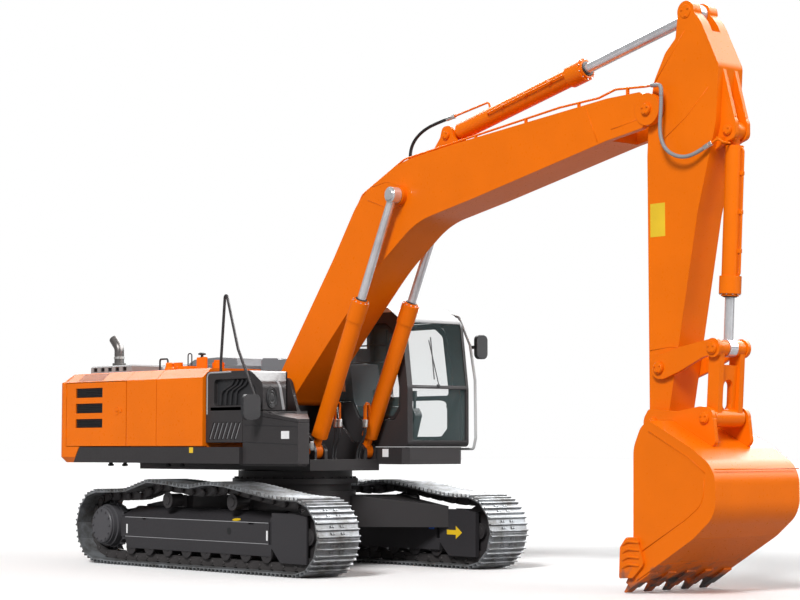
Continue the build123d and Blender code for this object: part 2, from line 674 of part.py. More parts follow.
with BuildPart() as cab_door:
    inner = [(38, 1508), (38, 2982), (996, 2982), (1172, 2855), (1292, 2148), (1292, 1764), (1006, 1508)]
    rounded_plate(inner, DOOR_RADII, (CAB_Y[1] - 50, CAB_Y[1]))
    rounded_plate([(110, 2080), (110, 2910), (965, 2910), (1110, 2810), (1215, 2150), (1215, 2080)],
                  [60, 80, 90, 90, 60, 40], (CAB_Y[1] - 60, CAB_Y[1] + 10), mode=Mode.SUBTRACT)
    rounded_plate([(105, 2075), (105, 2915), (968, 2915), (1115, 2812), (1220, 2150), (1220, 2075)],
                  [60, 80, 90, 90, 60, 40], (CAB_Y[1] - 30, CAB_Y[1] - 24))
    block((1120, 1240), (CAB_Y[1], CAB_Y[1] + 14), (1930, 1965))
    # hinge barrels behind the rear edge, each on a strap
    for z in (1800, 2700):
        with Locations((25, CAB_Y[1] + 12, z)):
            Cylinder(11, 110)
        block((25, 90), (CAB_Y[1] + 1, CAB_Y[1] + 13), (z - 30, z + 30))
        block((42, 90), (CAB_Y[1] - 10, CAB_Y[1] + 13), (z - 30, z + 30))
save(cab_door.part, "cab_door")

with BuildPart() as seat:
    block((250, 560), (800, 1160), (1492, 1640))
    rounded_plate([(160, 1640), (160, 1790), (700, 1790), (720, 1640)], [30, 50, 60, 40], (730, 1230))
    rounded_plate([(90, 1790), (20, 2480), (140, 2500), (260, 1800)], [40, 50, 50, 40], (750, 1210))
    rounded_plate([(20, 2505), (10, 2680), (110, 2690), (130, 2510)], 35, (860, 1100))
save(seat.part, "seat")

with BuildPart() as console:
    for y in ((600, 715), (1245, 1360)):
        rounded_plate([(200, 1492), (200, 1900), (330, 1960), (760, 1930), (820, 1850), (700, 1492)],
                      [10, 50, 40, 30, 50, 10], y)
        with Locations((740, sum(y) / 2, 2000)):
            Cylinder(18, 180)
            with Locations((0, 0, 100)):
                Cylinder(30, 90)
    block((900, 1080), (820, 1140), (1492, 1540))
    for y in (920, 1040):
        with Locations((990, y, 1700)):
            Cylinder(12, 330)
save(console.part, "console")

# ---- boom ---------------------------------------------------------------------------------
ARM_HOSE_STUB = (2150, 0, 4745)
with BuildPart() as boom:
    rounded_plate(
        [(20, 2330), (1055, 3672), (1560, 4390), *BOOM_TOP, (6080, 4690), (5544, 4608),
         (3532, 4194), (2560, 4010), (1869, 3530), (1283, 2985), (250, 2000),
         (60, 2010)],
        [100, 1500, 900, 1500, 3000, 700, 60, 60, 2000, 1500, 1200, 3000, 3000, 90, 90],
        (-BOOM_HALF, BOOM_HALF),
    )
    # box girder: closed inside between the foot and the fork
    rounded_plate(
        [(330, 2270), (1075, 3640), (1580, 4350), (2310, 4700), (3200, 4806), (5500, 5014), (5500, 4630),
         (3520, 4222), (2550, 4036), (1850, 3552), (1268, 3012), (420, 2180)],
        [60, 1500, 880, 1450, 2950, 30, 30, 1500, 1200, 3000, 3000, 60],
        (-BOOM_HALF + 18, BOOM_HALF - 18),
        mode=Mode.SUBTRACT,
    )
    # foot: one wide boss between the webs of the frame
    drum(FOOT, 165, (-278, 278))
    drum(FOOT, 58 + FIT, (-300, 300), mode=Mode.SUBTRACT)
    # fork for the arm
    block((5560, 6400), (-ARM_HALF - 8, ARM_HALF + 8), (4500, 5200), mode=Mode.SUBTRACT)
    for ear in both_sides((ARM_HALF + 8, BOOM_HALF + 8)):
        drum(ARM_PIN, 165, ear)
    # lugs of the arm cylinder, a pocket under its eye
    for lug in both_sides((64, 104)):
        rounded_plate(
            [(2600, 4750), (2790, 4960), (2830, 5085), (2970, 5085), (3010, 4960), (3160, 4800)],
            [10, 80, 70, 70, 80, 10],
            lug,
        )
    drum(ARM_CYLINDER[0], 54, (-124, 124))
    # bosses at the rod pins of the boom cylinders
    for boss in both_sides((BOOM_HALF, 326)):
        drum(BOOM_CYLINDER[1], 105, boss)
    # stub of the hose that feeds the arm cylinder
    with Locations((*ARM_HOSE_STUB[:2], ARM_HOSE_STUB[2] - 52)):
        Cylinder(HOSE_FITTING + 4, 104)
    # the pin of the arm, fixed in both ears
    drum(ARM_PIN, ARM_PIN_R, (-BOOM_HALF - 30, BOOM_HALF + 30))
save(boom.part, "boom")


def barrel(name, spec, foot, eye, y, pipes=(), fittings=()):
    """Cylinder barrel: foot eye, closed tube, gland, pipes on it and fittings at the pipes' ends."""
    length = spec["length"]
    with BuildPart() as body:
        tube(foot, eye, (spec["neck"], length - 40), spec["barrel"], y)
        tube(foot, eye, (length - spec["gland_length"], length - 24), spec["gland"], y)
        tube(foot, eye, (length - 24, length), spec["gland"] - 22, y)
        tube(foot, eye, (0, spec["neck"] + 20), spec["width"] / 2 - 4, y)
        drum(foot, spec["eye"], (y - spec["width"] / 2, y + spec["width"] / 2))
        tube(foot, eye, (spec["neck"] + 30, length - 70), spec["bore"], y, mode=Mode.SUBTRACT)
        tube(foot, eye, (length - 90, length + 5), spec["rod"] + FIT, y, mode=Mode.SUBTRACT)
        drum(foot, 54 + FIT if spec is not BOOM_BORE else 50 + FIT, (y - 90, y + 90), mode=Mode.SUBTRACT)
        for points, bend in pipes:
            rail(points, PIPE, bend)
        for start, end in fittings:
            span = Vector(*end) - Vector(*start)
            with Locations(Plane(origin=start, z_dir=span)):
                Cylinder(HOSE_FITTING, span.length, align=(Align.CENTER, Align.CENTER, Align.MIN))
    save(body.part, name)


def rod(name, spec, foot, eye, y, inner_end, piston, caps=()):
    """Piston, rod and eye; the pin fills the eye, and caps stand on the pin's ends."""
    reach = hypot(eye[0] - foot[0], eye[1] - foot[1])
    with BuildPart() as body:
        tube(foot, eye, (inner_end, reach - 40), spec["rod"], y)
        tube(foot, eye, (inner_end, inner_end + piston), spec["bore"] - 2, y)
        drum(eye, spec["eye"], (y - spec["width"] / 2, y + spec["width"] / 2))
        for low, high in caps:
            drum(eye, 62, (low, high))
    save(body.part, name)


# two pipes lie on the inner flank of each boom cylinder, arch over and end in fittings
ARCHES = [  # X, distance from the middle, Z
    [(1062, 292, 1800), (1066, 268, 1945), (1058, 222, 1955), (1058, 222, HOSE_TOP + 100)],
    [(1090, 292, 1850), (1098, 262, 1965), (1112, 200, 1978), (1112, 200, HOSE_TOP + 100)],
]
for side, sign in SIDES.items():
    y = sign * BOOM_CYLINDER_Y
    outer = sorted((y + sign * 53, y + sign * 76))
    arches = [[(px, sign * py, pz) for px, py, pz in points] for points in ARCHES]
    ends = [(points[-1], (*points[-1][:2], HOSE_TOP + FIT)) for points in arches]
    barrel(f"boom_cylinder_{side}", BOOM_BORE, *BOOM_CYLINDER, y, [(points, 20) for points in arches], ends)
    rod(f"boom_rod_{side}", BOOM_BORE, *BOOM_CYLINDER, y, 1198, 36, [outer])

# a pipe above the arm's cylinder, from the hose to the port on the barrel
CYLINDER_HOSE_END = (2790, 0, 5186)
ARM_FITTING = [(2791, 0, 5186.2), (2938.5, 0, 5207.5)]
port = [ARM_FITTING[1], (3495.6, 0, 5298), (3513, 0, 5221)]
barrel("arm_cylinder", ARM_BORE, *ARM_CYLINDER, 0, [(port, 40)], [ARM_FITTING])
rod("arm_rod", ARM_BORE, *ARM_CYLINDER, 0, 1600, 90)

# ---- arm ----------------------------------------------------------------------------------
ARM_OUTLINE = [
    (6060, 4650), (6045, 4400), (6050, 1800), (6050, 1600), (6306, 1600), (6312, 1800), (6706, 3760),
    (6960, 4650), (7000, 5225), (6760, 5720), (6560, 5905), (6470, 5780), (6440, 5560), (6300, 5430),
    (6140, 5150),
]
ARM_RADII = [300, 300, 900, 100, 100, 600, 900, 900, 140, 500, 60, 60, 60, 150, 300]
ARM_VOID = [(6080, 4400), (6080, 1900), (6286, 1900), (6676, 3780), (6920, 4660), (6960, 5220), (6700, 5300),
            (6330, 5200), (6340, 4700)]
THROAT = [(6150, 5760), (6380, 5480), (6560, 5420), (6720, 5480), (6860, 5640), (7000, 6100), (6000, 6300)]
with BuildPart() as arm:
    rounded_plate(ARM_OUTLINE, ARM_RADII, (-ARM_HALF, ARM_HALF))
    rounded_plate(ARM_VOID, 60, (-ARM_HALF + 16, ARM_HALF - 16), mode=Mode.SUBTRACT)
    drum(ARM_PIN, 175, (-ARM_HALF, ARM_HALF))
    drum(ARM_CYLINDER[1], 108, (-ARM_HALF, ARM_HALF))
    drum(BUCKET_PIN, 135, (-ARM_HALF, ARM_HALF))
    drum(ARM_PIN, ARM_PIN_R + FIT, (-ARM_HALF, ARM_HALF), mode=Mode.SUBTRACT)
    # throat for the rod eye, open to the rear and above
    plate(THROAT, (-62, 62), mode=Mode.SUBTRACT)
    # bracket for the bucket cylinder
    for lug in both_sides((64, 110)):
        rounded_plate(
            [(6860, 4380), (6900, 4900), (7000, 4900), (7150, 4650), (7150, 4490), (7050, 4460)],
            [10, 10, 40, 80, 70, 60],
            lug,
        )
    block((6900, 7148), (-62, 62), (4468, 4680), mode=Mode.SUBTRACT)
    drum(BUCKET_CYLINDER[0], 54, (-128, 128))
    drum(ROCKER_PIN, 60, (-262, 262))
    drum(BUCKET_PIN, 55, (-300, 300))
save(arm.part, "arm")

barrel("bucket_cylinder", BUCKET_BORE, *BUCKET_CYLINDER, 0)
rod("bucket_rod", BUCKET_BORE, *BUCKET_CYLINDER, 0, 512, 45)

# ---- bucket linkage -------------------------------------------------------------------------
with BuildPart() as rocker_links:
    for cheek in both_sides((193, 236)):
        rounded_plate(
            [(6130, 2180), (6170, 2350), (6500, 2440), (6950, 2515), (7010, 2370), (6800, 2330),
             (6500, 2200), (6260, 2120)],
            [90, 90, 200, 80, 80, 200, 200, 90],
            cheek,
        )
        drum(ROCKER_PIN, 112, cheek)
        drum(LINK_PIN, 95, cheek)
        drum(ROCKER_PIN, 60 + FIT, cheek, mode=Mode.SUBTRACT)
    for cap in both_sides((236, 256)):
        drum(LINK_PIN, 62, cap)
save(rocker_links.part, "rocker_links")

with BuildPart() as h_link:
    for bar in both_sides((62, 188)):
        drum(LINK_PIN, 80, bar)
    for bar in both_sides((120, 188)):
        rounded_plate([(6850, 2440), (6990, 2400), (6945, 1735), (6800, 1735)], [60, 60, 40, 40], bar)
    drum(EAR_PIN, 92, (-215, 215))
    with BuildSketch(Plane.XZ.offset(-120)) as web:
        with BuildLine():
            Polyline((6865, 2260), (6945, 2250), (6900, 1790), (6835, 1790), close=True)
        make_face()
    extrude(web.sketch, amount=240)
    with BuildSketch(Plane.YZ.offset(6700)) as slot:
        with Locations((0, 1960)):
            SlotOverall(300, 140, rotation=90)
    extrude(slot.sketch, amount=400, mode=Mode.SUBTRACT)
    drum(EAR_PIN, 45 + FIT, (-250, 250), mode=Mode.SUBTRACT)
save(h_link.part, "h_link")

# ---- bucket -------------------------------------------------------------------------------
TEETH_Y = [i * 278 for i in (-2, -1, 0, 1, 2)]
with BuildPart() as bucket:
    rounded_plate(
        [(6440, 1712), (6985, 1440), (7290, 1240), (7290, 800), (7000, 565), (6290, 150), (6222, 260),
         (6235, 1440), (6330, 1640)],
        [30, 420, 300, 300, 420, 20, 60, 300, 160],
        (-BUCKET_HALF, BUCKET_HALF),
    )
    rounded_plate(
        [(6100, 1560), (6440, 1655), (6960, 1400), (7250, 1210), (7250, 820), (6975, 605), (6262, 190),
         (6100, 190)],
        [10, 60, 400, 280, 280, 400, 10, 10],
        (-BUCKET_HALF + 34, BUCKET_HALF - 34),
        mode=Mode.SUBTRACT,
    )
    # cutting lip and side cutters
    plate([(6222, 205), (6262, 135), (6420, 230), (6380, 290)], (-BUCKET_HALF, BUCKET_HALF))
    for cutter in both_sides((BUCKET_HALF, BUCKET_HALF + 34)):
        rounded_plate([(6300, 560), (6160, 560), (6075, 455), (6060, 150), (6240, 160), (6390, 300)],
                      [20, 60, 40, 20, 20, 60], cutter)
    # adapters and teeth
    for y in TEETH_Y:
        for points, half in (
            ([(6400, 330), (6160, 185), (6110, 110), (6180, 60), (6420, 205)], 62),
            ([(6175, 165), (6072, 14), (6095, 8), (6215, 95)], 48),
        ):
            plate(points, (y - half, y + half))
    # ears with inner and outer bosses
    for ear in both_sides((240, 285)):
        rounded_plate(
            [(6080, 1760), (6120, 1830), (6500, 1800), (6830, 1850), (6970, 1760), (7010, 1420),
             (6400, 1670), (6180, 1560)],
            [60, 90, 300, 110, 110, 60, 60, 110],
            ear,
        )
        drum(BUCKET_PIN, 130, ear)
        drum(EAR_PIN, 105, ear)
    for boss in both_sides((190, 240)):
        drum(BUCKET_PIN, 100, boss)
    for cap in both_sides((285, 306)):
        drum(EAR_PIN, 60, cap)
    for pin in both_sides((188, 310)):
        drum(BUCKET_PIN, 55 + FIT, pin, mode=Mode.SUBTRACT)
    drum(EAR_PIN, 45, (-290, 290))
save(bucket.part, "bucket")

# ---- pipes and hoses ------------------------------------------------------------------------
def height(line, x):
    """Z of a straight-sided X, Z line at an X."""
    for (x0, z0), (x1, z1) in zip(line, line[1:]):
        if x0 <= x <= x1:
            return z0 + (z1 - z0) * (x - x0) / (x1 - x0)


# a pipe follows the upper edge of the boom on brackets and turns down before the arm
PIPE_Y = -206
PIPE_FOOT = [(239, 2666), (1029, 3691), (1539, 4416)]
PIPE_TOP = [(2291, 4759), (4812, 5052), (5390, 5082), (5629, 5142), (6050, 5118)]
ARM_HOSE_START = (6345, -300, 4975)
with BuildPart() as boom_pipes:
    elbow = [(6180, -262, 5106), (6345, -300, 5088), ARM_HOSE_START]
    rail([(x, PIPE_Y, z) for x, z in PIPE_FOOT + PIPE_TOP] + [elbow[0]], PIPE, 120)
    rail(elbow, HOSE_FITTING, 70)
    for x in (2700, 3500, 4300, 5100, 5800):
        edges = (x - 12, x + 12)
        bracket = [(edge, height(BOOM_TOP, edge)) for edge in edges]
        bracket += [(edge, height(PIPE_TOP, x)) for edge in reversed(edges)]
        plate(bracket, (PIPE_Y - 16, PIPE_Y + 14))
    # clamp at the foot
    with Locations(Plane(origin=(239, PIPE_Y, 2666), z_dir=(0.611, 0, 0.792))):
        Cylinder(HOSE_FITTING, 60, align=(Align.CENTER, Align.CENTER, Align.MIN))
save(boom_pipes.part, "boom_pipes")

# fitting and pipe at the far end of the arm's hose, on a bracket of the bucket cylinder
ARM_HOSE_END, PIPE_START = (6851, -248, 4394), (6945, -222, 4446)
with BuildPart() as arm_pipes:
    fitting_start = Vector(6852, -247.7, 4394.6)
    span = Vector(*PIPE_START) - fitting_start
    with Locations(Plane(origin=fitting_start, z_dir=span)):
        Cylinder(HOSE_FITTING + 3, span.length, align=(Align.CENTER, Align.CENTER, Align.MIN))
    rail([PIPE_START, (7003, -206, 4478), (7060, -190, 4438), (7060, -97, 4438)], PIPE, 20)
    block((6990, 7016), (-222, -110), (4460, 4496))
save(arm_pipes.part, "arm_pipes")

# free hoses: radius and route; every route is straight runs joined by arcs
HOSES = {
    "arm_hose": (ARM_HOSE, [
        ARM_HOSE_START, (6345, -300, 4860), (6325, -302, 4700), (6335, -304, 4545), (6400, -304, 4425),
        (6510, -298, 4352), (6640, -290, 4322), (6762, -273, 4345), ARM_HOSE_END,
    ]),
    "arm_cylinder_hose": (CYLINDER_HOSE, [
        ARM_HOSE_STUB, (2150, 0, 4850), (2190, 0, 4960), (2285, 0, 5050), (2430, 0, 5118), (2610, 0, 5160),
        CYLINDER_HOSE_END,
    ]),
}
BEND_HIGH, BEND_LOW = 1572, 1428
for side, sign in SIDES.items():
    for row, arch, gland in zip(("rear", "front"), ARCHES, HOSE_GLANDS):
        top, low = (arch[-1][0], sign * arch[-1][1]), (gland[0], sign * gland[1])
        route = [(*top, HOSE_TOP), (*top, BEND_HIGH), (*low, BEND_LOW), (*low, HOSE_FLOOR)]
        HOSES[f"boom_hose_{side}_{row}"] = (BOOM_HOSE, route)

for name, (radius, route) in HOSES.items():
    steps = [Vector(*b) - Vector(*a) for a, b in zip(route, route[1:])]
    radii = []
    for before, after in zip(steps, steps[1:]):
        turn = before.get_angle(after) * pi / 180
        radii.append(0.45 * min(before.length, after.length) / tan(turn / 2))
    with BuildPart() as hose:
        with BuildLine() as path:
            FilletPolyline(*route, radius=radii)
        wire = path.wire()
        with BuildSketch(Plane(origin=wire @ 0, z_dir=wire % 0)) as ring:
            Circle(radius)
        sweep(ring.sketch, path=wire)
    filling = hose.part.volume / (pi * radius**2 * wire.length)
    print(f"{name}: length {wire.length:.0f}, radii {[round(r) for r in radii]}, volume ratio {filling:.4f}")
    save(hose.part, name)

# ---- rails and mirrors ----------------------------------------------------------------------
RAIL = 17
with BuildPart() as handrails:
    rail(
        [(280, -1340, 2337), (280, -1340, 2440), (355, -1340, 3229), (400, -1345, 3240), (822, -1488, 2580),
         (1168, -1500, 2040), (1178, -1500, 1895), (1178, -1450.5, 1895)],
        RAIL, 30,
    )
    rail([(-900, 1250, 2386), (-900, 1250, 2800), (-420, 1250, 2800), (-420, 1250, 2386)], RAIL, 80)
save(handrails.part, "handrails")

with BuildPart() as cab_rail:
    rail(
        [(1070, 1490.3, 3105), (1070, 1560, 3105), (1280, 1560, 3050), (1480, 1560, 2700), (1570, 1560, 2270),
         (1580, 1560, 1560), (1540, 1560, 1425), (1220, 1560, 1425), (1220, 1491.3, 1425)],
        RAIL, 40,
    )
save(cab_rail.part, "cab_rail")

# a shallow dish each, and the clamp that joins it to its rail
MIRRORS = {"right": ((1255, -1625, 1902), (240, 290)), "left": ((1540, 1690, 2676), (190, 300))}
with BuildPart() as mirrors:
    for (x, y, z), (wide, high) in MIRRORS.values():
        with BuildSketch(Plane.YZ.offset(x - 25)) as dish:
            with Locations((y, z)):
                RectangleRounded(wide, high, 70)
        extrude(dish.sketch, amount=50)
    chamfer(mirrors.edges().group_by(Axis.X)[-1], 8)
    block((1195.5, 1232), (-1540, -1505), (1880, 1920))
    block((1475, 1530), (1577.5, 1600), (2650, 2690))
save(mirrors.part, "mirrors")

print("parts written")
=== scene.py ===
# %% [markdown]
# # Dressing a crawler excavator
# The machine's plates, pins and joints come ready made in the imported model. This file gives them
# their finish and adds what is too small or too soft for them: shoes with grousers, bolts, hoses,
# seals, seams and lamps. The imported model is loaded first, because every place below is given in
# its frame, in metres: X forwards, Y to the left and Z up from the ground.

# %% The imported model
import json
import math

import bpy
import numpy as np
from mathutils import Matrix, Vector


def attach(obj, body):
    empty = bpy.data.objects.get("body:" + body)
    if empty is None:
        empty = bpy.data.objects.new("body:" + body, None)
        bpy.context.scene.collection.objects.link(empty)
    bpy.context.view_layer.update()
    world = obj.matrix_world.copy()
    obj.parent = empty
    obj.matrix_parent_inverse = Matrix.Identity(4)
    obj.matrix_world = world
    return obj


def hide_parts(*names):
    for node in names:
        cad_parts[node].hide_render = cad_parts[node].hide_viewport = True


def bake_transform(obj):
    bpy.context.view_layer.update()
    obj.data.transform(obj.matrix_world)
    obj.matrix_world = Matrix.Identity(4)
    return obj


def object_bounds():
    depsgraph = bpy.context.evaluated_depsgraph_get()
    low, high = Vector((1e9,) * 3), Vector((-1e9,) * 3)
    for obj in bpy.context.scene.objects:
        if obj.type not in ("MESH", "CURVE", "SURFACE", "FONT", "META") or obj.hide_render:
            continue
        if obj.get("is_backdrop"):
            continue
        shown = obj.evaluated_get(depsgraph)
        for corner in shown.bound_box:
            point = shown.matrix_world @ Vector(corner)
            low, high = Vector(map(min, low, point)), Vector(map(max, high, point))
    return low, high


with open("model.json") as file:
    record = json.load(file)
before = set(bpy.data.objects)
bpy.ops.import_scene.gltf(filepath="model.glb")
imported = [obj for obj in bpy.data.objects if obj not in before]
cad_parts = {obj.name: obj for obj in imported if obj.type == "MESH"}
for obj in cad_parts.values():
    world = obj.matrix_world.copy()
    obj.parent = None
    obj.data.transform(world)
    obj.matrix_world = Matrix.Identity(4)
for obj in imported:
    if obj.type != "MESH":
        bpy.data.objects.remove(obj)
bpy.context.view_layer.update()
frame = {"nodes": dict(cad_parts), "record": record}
nodes = frame["nodes"]

# %% [markdown]
# ## The view
# A long lens stands a good way off the front right corner, at about the height of a person's
# chest. From so far away the front stays in proportion to the tracks.

# %% Camera
CAMERA_AT = Vector((20.61, -16.073, 1.45))
YAW, PITCH = math.radians(139.228), math.radians(3.969)
SENSOR_MM, FOCAL_MM, FAR_CLIP = 36, 95.19, 400


def into_scene(name, data):
    """New object that holds the data, linked to the scene."""
    thing = bpy.data.objects.new(name, data)
    bpy.context.scene.collection.objects.link(thing)
    return thing


lens = bpy.data.cameras.new("camera")
lens.sensor_width, lens.lens, lens.clip_end = SENSOR_MM, FOCAL_MM, FAR_CLIP
camera = into_scene("camera", lens)
look = Vector((math.cos(PITCH) * math.cos(YAW), math.cos(PITCH) * math.sin(YAW), math.sin(PITCH)))
camera.location = CAMERA_AT
camera.rotation_euler = look.to_track_quat("-Z", "Y").to_euler()
bpy.context.scene.camera = camera
print("the camera looks along", tuple(round(x, 3) for x in look))

# %% [markdown]
# ## Making meshes from arrays
# A shape here is a pair: an array of points, and a list of arrays of corner numbers. Nearly every
# small part of such a machine is a section carried along something: a bar along its bend, a shoe
# across the track, a bolt head along its axis. So one function joins rings of points with faces,
# and the others only work out where the rings lie. Modelling each bolt by hand would give the
# same thing, but arrays make five hundred as easily as one.

# %% Rings of points joined with faces
def stacks(rings, caps=True):
    """Shape of n pieces, each of k rings of m points, from an array (n, k, m, 3).

    Ring j is joined to ring j + 1 by quads, and the end rings are closed by flat faces. The points
    of a ring run anticlockwise when seen from the side that the rings go towards.
    """
    n, k, m = rings.shape[:3]
    number = np.arange(n * k * m).reshape(n, k, m)
    low, high = number[:, :-1], number[:, 1:]
    quads = np.stack([low, np.roll(low, -1, 2), np.roll(high, -1, 2), high], axis=-1)
    faces = [quads.reshape(-1, 4)]
    if caps:
        faces += [number[:, 0, ::-1], number[:, -1]]
    return rings.reshape(-1, 3), faces


def together(*shapes):
    """One shape from several: their points in a row, and their corner numbers moved up to match."""
    counts = np.cumsum([0] + [len(points) for points, _ in shapes])
    faces = [f + count for (_, sets), count in zip(shapes, counts) for f in sets]
    return np.concatenate([points for points, _ in shapes]), faces


def make_piece(name, body, finish, *shapes, smooth=False):
    """Blender object of some shapes, with a finish, riding on a body unless that is None."""
    points, face_sets = together(*shapes)
    corners = np.concatenate([f.ravel() for f in face_sets]).astype(np.int32)
    sizes = np.concatenate([np.full(len(f), f.shape[1], np.int32) for f in face_sets])
    mesh = bpy.data.meshes.new(name)
    mesh.vertices.add(len(points))
    mesh.vertices.foreach_set("co", points.astype(np.float32).ravel())
    mesh.loops.add(len(corners))
    mesh.loops.foreach_set("vertex_index", corners)
    mesh.polygons.add(len(sizes))
    mesh.polygons.foreach_set("loop_start", (np.cumsum(sizes) - sizes).astype(np.int32))
    mesh.polygons.foreach_set("use_smooth", np.full(len(sizes), smooth))
    mesh.update(calc_edges=True)
    mesh.materials.append(FINISHES[finish])
    piece = into_scene(name, mesh)
    if body:
        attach(piece, body)
    print(f"{name}: {len(points)} points, {len(sizes)} faces on {body or 'two bodies'}")
    return piece


# %% Directions and frames
X, Y, Z = np.eye(3)
NEARLY_ALONG = 0.9  # cosine past which a direction counts as lying along X


def unit(vector):
    """Vector of length one."""
    return np.asarray(vector, float) / np.linalg.norm(vector)


def axes(z_axis, x_axis):
    """Three rows at right angles: x_axis made square to z_axis, their cross product, z_axis."""
    z_axis = np.asarray(z_axis, float)
    z_axis = z_axis / np.linalg.norm(z_axis, axis=-1, keepdims=True)
    x_axis = np.asarray(x_axis, float) + 0 * z_axis
    x_axis = x_axis - z_axis * np.sum(x_axis * z_axis, axis=-1, keepdims=True)
    x_axis = x_axis / np.linalg.norm(x_axis, axis=-1, keepdims=True)
    return np.stack([x_axis, np.cross(z_axis, x_axis), z_axis], axis=-2)


def axes_round(axis):
    """Rows at right angles, the last along an axis: the first is near X, or near Z if that is X."""
    return axes(axis, X if abs(axis[0]) < NEARLY_ALONG * np.linalg.norm(axis) else Z)


def axes_along(path):
    """Frame at each point of a path, with its last row along it, from its neighbours' difference.

    The first row is the cross product of that row and the axis that the path runs along least.
    """
    run = np.gradient(path, axis=0)
    return axes(run, np.cross(run, np.eye(3)[np.argmin(np.abs(run).sum(0))]))


def placed(local, centres, frames):
    """Local points (..., 3) of n pieces moved to centres (n, 3) and turned by frames (n, 3, 3)."""
    centres = np.atleast_2d(centres)
    frames = np.broadcast_to(frames, (len(centres), 3, 3))
    spread = np.broadcast_to(local, (len(centres),) + local.shape[-3:])
    return np.einsum("nkmi,nij->nkmj", spread, frames) + centres[:, None, None]


def at_side(flat, y):
    """Points (X, y, Z) of a list of X, Z pairs, all at one distance from the middle."""
    flat = np.asarray(flat, float)
    return np.stack([flat[:, 0], 0 * flat[:, 0] + y, flat[:, 1]], axis=-1)


# %% Turned parts, blocks, plates and bars
def turned(profile, centres, axis, sides=16, frames=None, caps=True):
    """Copies of a turned part: each (radius, height) of the profile is a ring round the axis.

    A ring's points are at radius times (cosine, sine) of evenly spaced angles.
    """
    radius, height = np.asarray(profile, float).T
    angle = (np.arange(sides) + 0.5) * 2 * np.pi / sides
    ring = radius[:, None, None] * np.stack([np.cos(angle), np.sin(angle)], axis=-1)
    rise = np.broadcast_to(height[:, None, None], (len(radius), sides, 1))
    if frames is None:
        frames = axes_round(axis)
    return stacks(placed(np.concatenate([ring, rise], -1), centres, frames), caps)


def blocks(centres, halves, chamfer, frames=np.eye(3)):
    """Chamfered blocks: an eight-cornered section carried through four heights.

    The section is a rectangle with its corners cut by the chamfer. The first and last of the four
    sections are drawn in by the chamfer, which cuts the edges of the ends.
    """
    centres = np.atleast_2d(centres)
    halves = np.broadcast_to(halves, centres.shape)
    cut = chamfer * np.array([1, 0, 0, 1])
    height = np.array([-1, -1, 1, 1]) * halves[:, 2:] + chamfer * np.array([0, 1, -1, 0])
    corner_x = np.array([1, 1, 1, -1, -1, -1, -1, 1])
    corner_y = np.array([-1, 1, 1, 1, 1, -1, -1, -1])
    trim_x = np.array([0, 0, 1, 1, 0, 0, 1, 1])
    side = halves[:, None, :] - cut[:, None]
    x = corner_x * (side[..., 0:1] - chamfer * trim_x)
    y = corner_y * (side[..., 1:2] - chamfer * (1 - trim_x))
    z = np.broadcast_to(height[..., None], x.shape)
    return stacks(placed(np.stack([x, y, z], axis=-1), centres, frames))


def slab_of(outline, low, high):
    """Plate with an X, Z outline between two Y values, whichever way round the outline runs."""
    x, z = np.array(outline).T
    rings = np.stack([at_side(outline, y) for y in (high, low)])
    area = np.sum(x * np.roll(z, -1) - z * np.roll(x, -1))
    return stacks(rings[None] if area > 0 else rings[None, :, ::-1])


def circle(sides):
    """Evenly spaced angles, and their points (cosine, sine, 0)."""
    angle = np.arange(sides) * 2 * np.pi / sides
    return angle, np.stack([np.cos(angle), np.sin(angle), 0 * angle], axis=-1)


def bar(path, radius, sides=10):
    """Round bar along a path of points: a circle square to the path at each of them."""
    path = np.asarray(path, float)
    _, ring = circle(sides)
    rings = path[:, None] + radius * np.einsum("mi,kij->kmj", ring, axes_along(path))
    return stacks(rings[None])


def bend(points, radius, steps=7):
    """Path of straight runs joined by arcs that touch them, through given corners.

    At a corner the arc starts at the radius times the tangent of half the turn before it, or just
    short of half the run if that is nearer. Its points are weighted sums of the corner and its two
    ends, which lie on a circle.
    """
    points = np.asarray(points, float)
    back = points[:-2] - points[1:-1]
    ahead = points[2:] - points[1:-1]
    room = 0.48 * np.minimum(np.linalg.norm(back, axis=1), np.linalg.norm(ahead, axis=1))
    back = back / np.linalg.norm(back, axis=1, keepdims=True)
    ahead = ahead / np.linalg.norm(ahead, axis=1, keepdims=True)
    half_turn = 0.5 * (np.pi - np.arccos(np.clip(np.sum(back * ahead, axis=1), -1, 1)))
    reach = np.minimum(radius * np.tan(half_turn), room)[:, None]
    start, end = points[1:-1] + back * reach, points[1:-1] + ahead * reach
    t = np.linspace(0, 1, steps)[:, None, None]
    weight = np.cos(half_turn)[:, None]
    total = (1 - t) ** 2 + 2 * t * (1 - t) * weight + t**2
    arcs = ((1 - t) ** 2 * start + 2 * t * (1 - t) * weight * points[1:-1] + t**2 * end) / total
    return np.concatenate([points[:1], arcs.transpose(1, 0, 2).reshape(-1, 3), points[-1:]])


# %% [markdown]
# ## Finishes
# Enamel on heavy plate is never one flat colour. It has slow changes of tone where the coat is
# thicker, a fine orange-peel skin, slight waves where the plate was welded, and soft highlights
# along its edges. All of that comes from noise in object coordinates, which fixes it to the
# steel, and a Bevel node rounds the edges of the plates without adding faces.

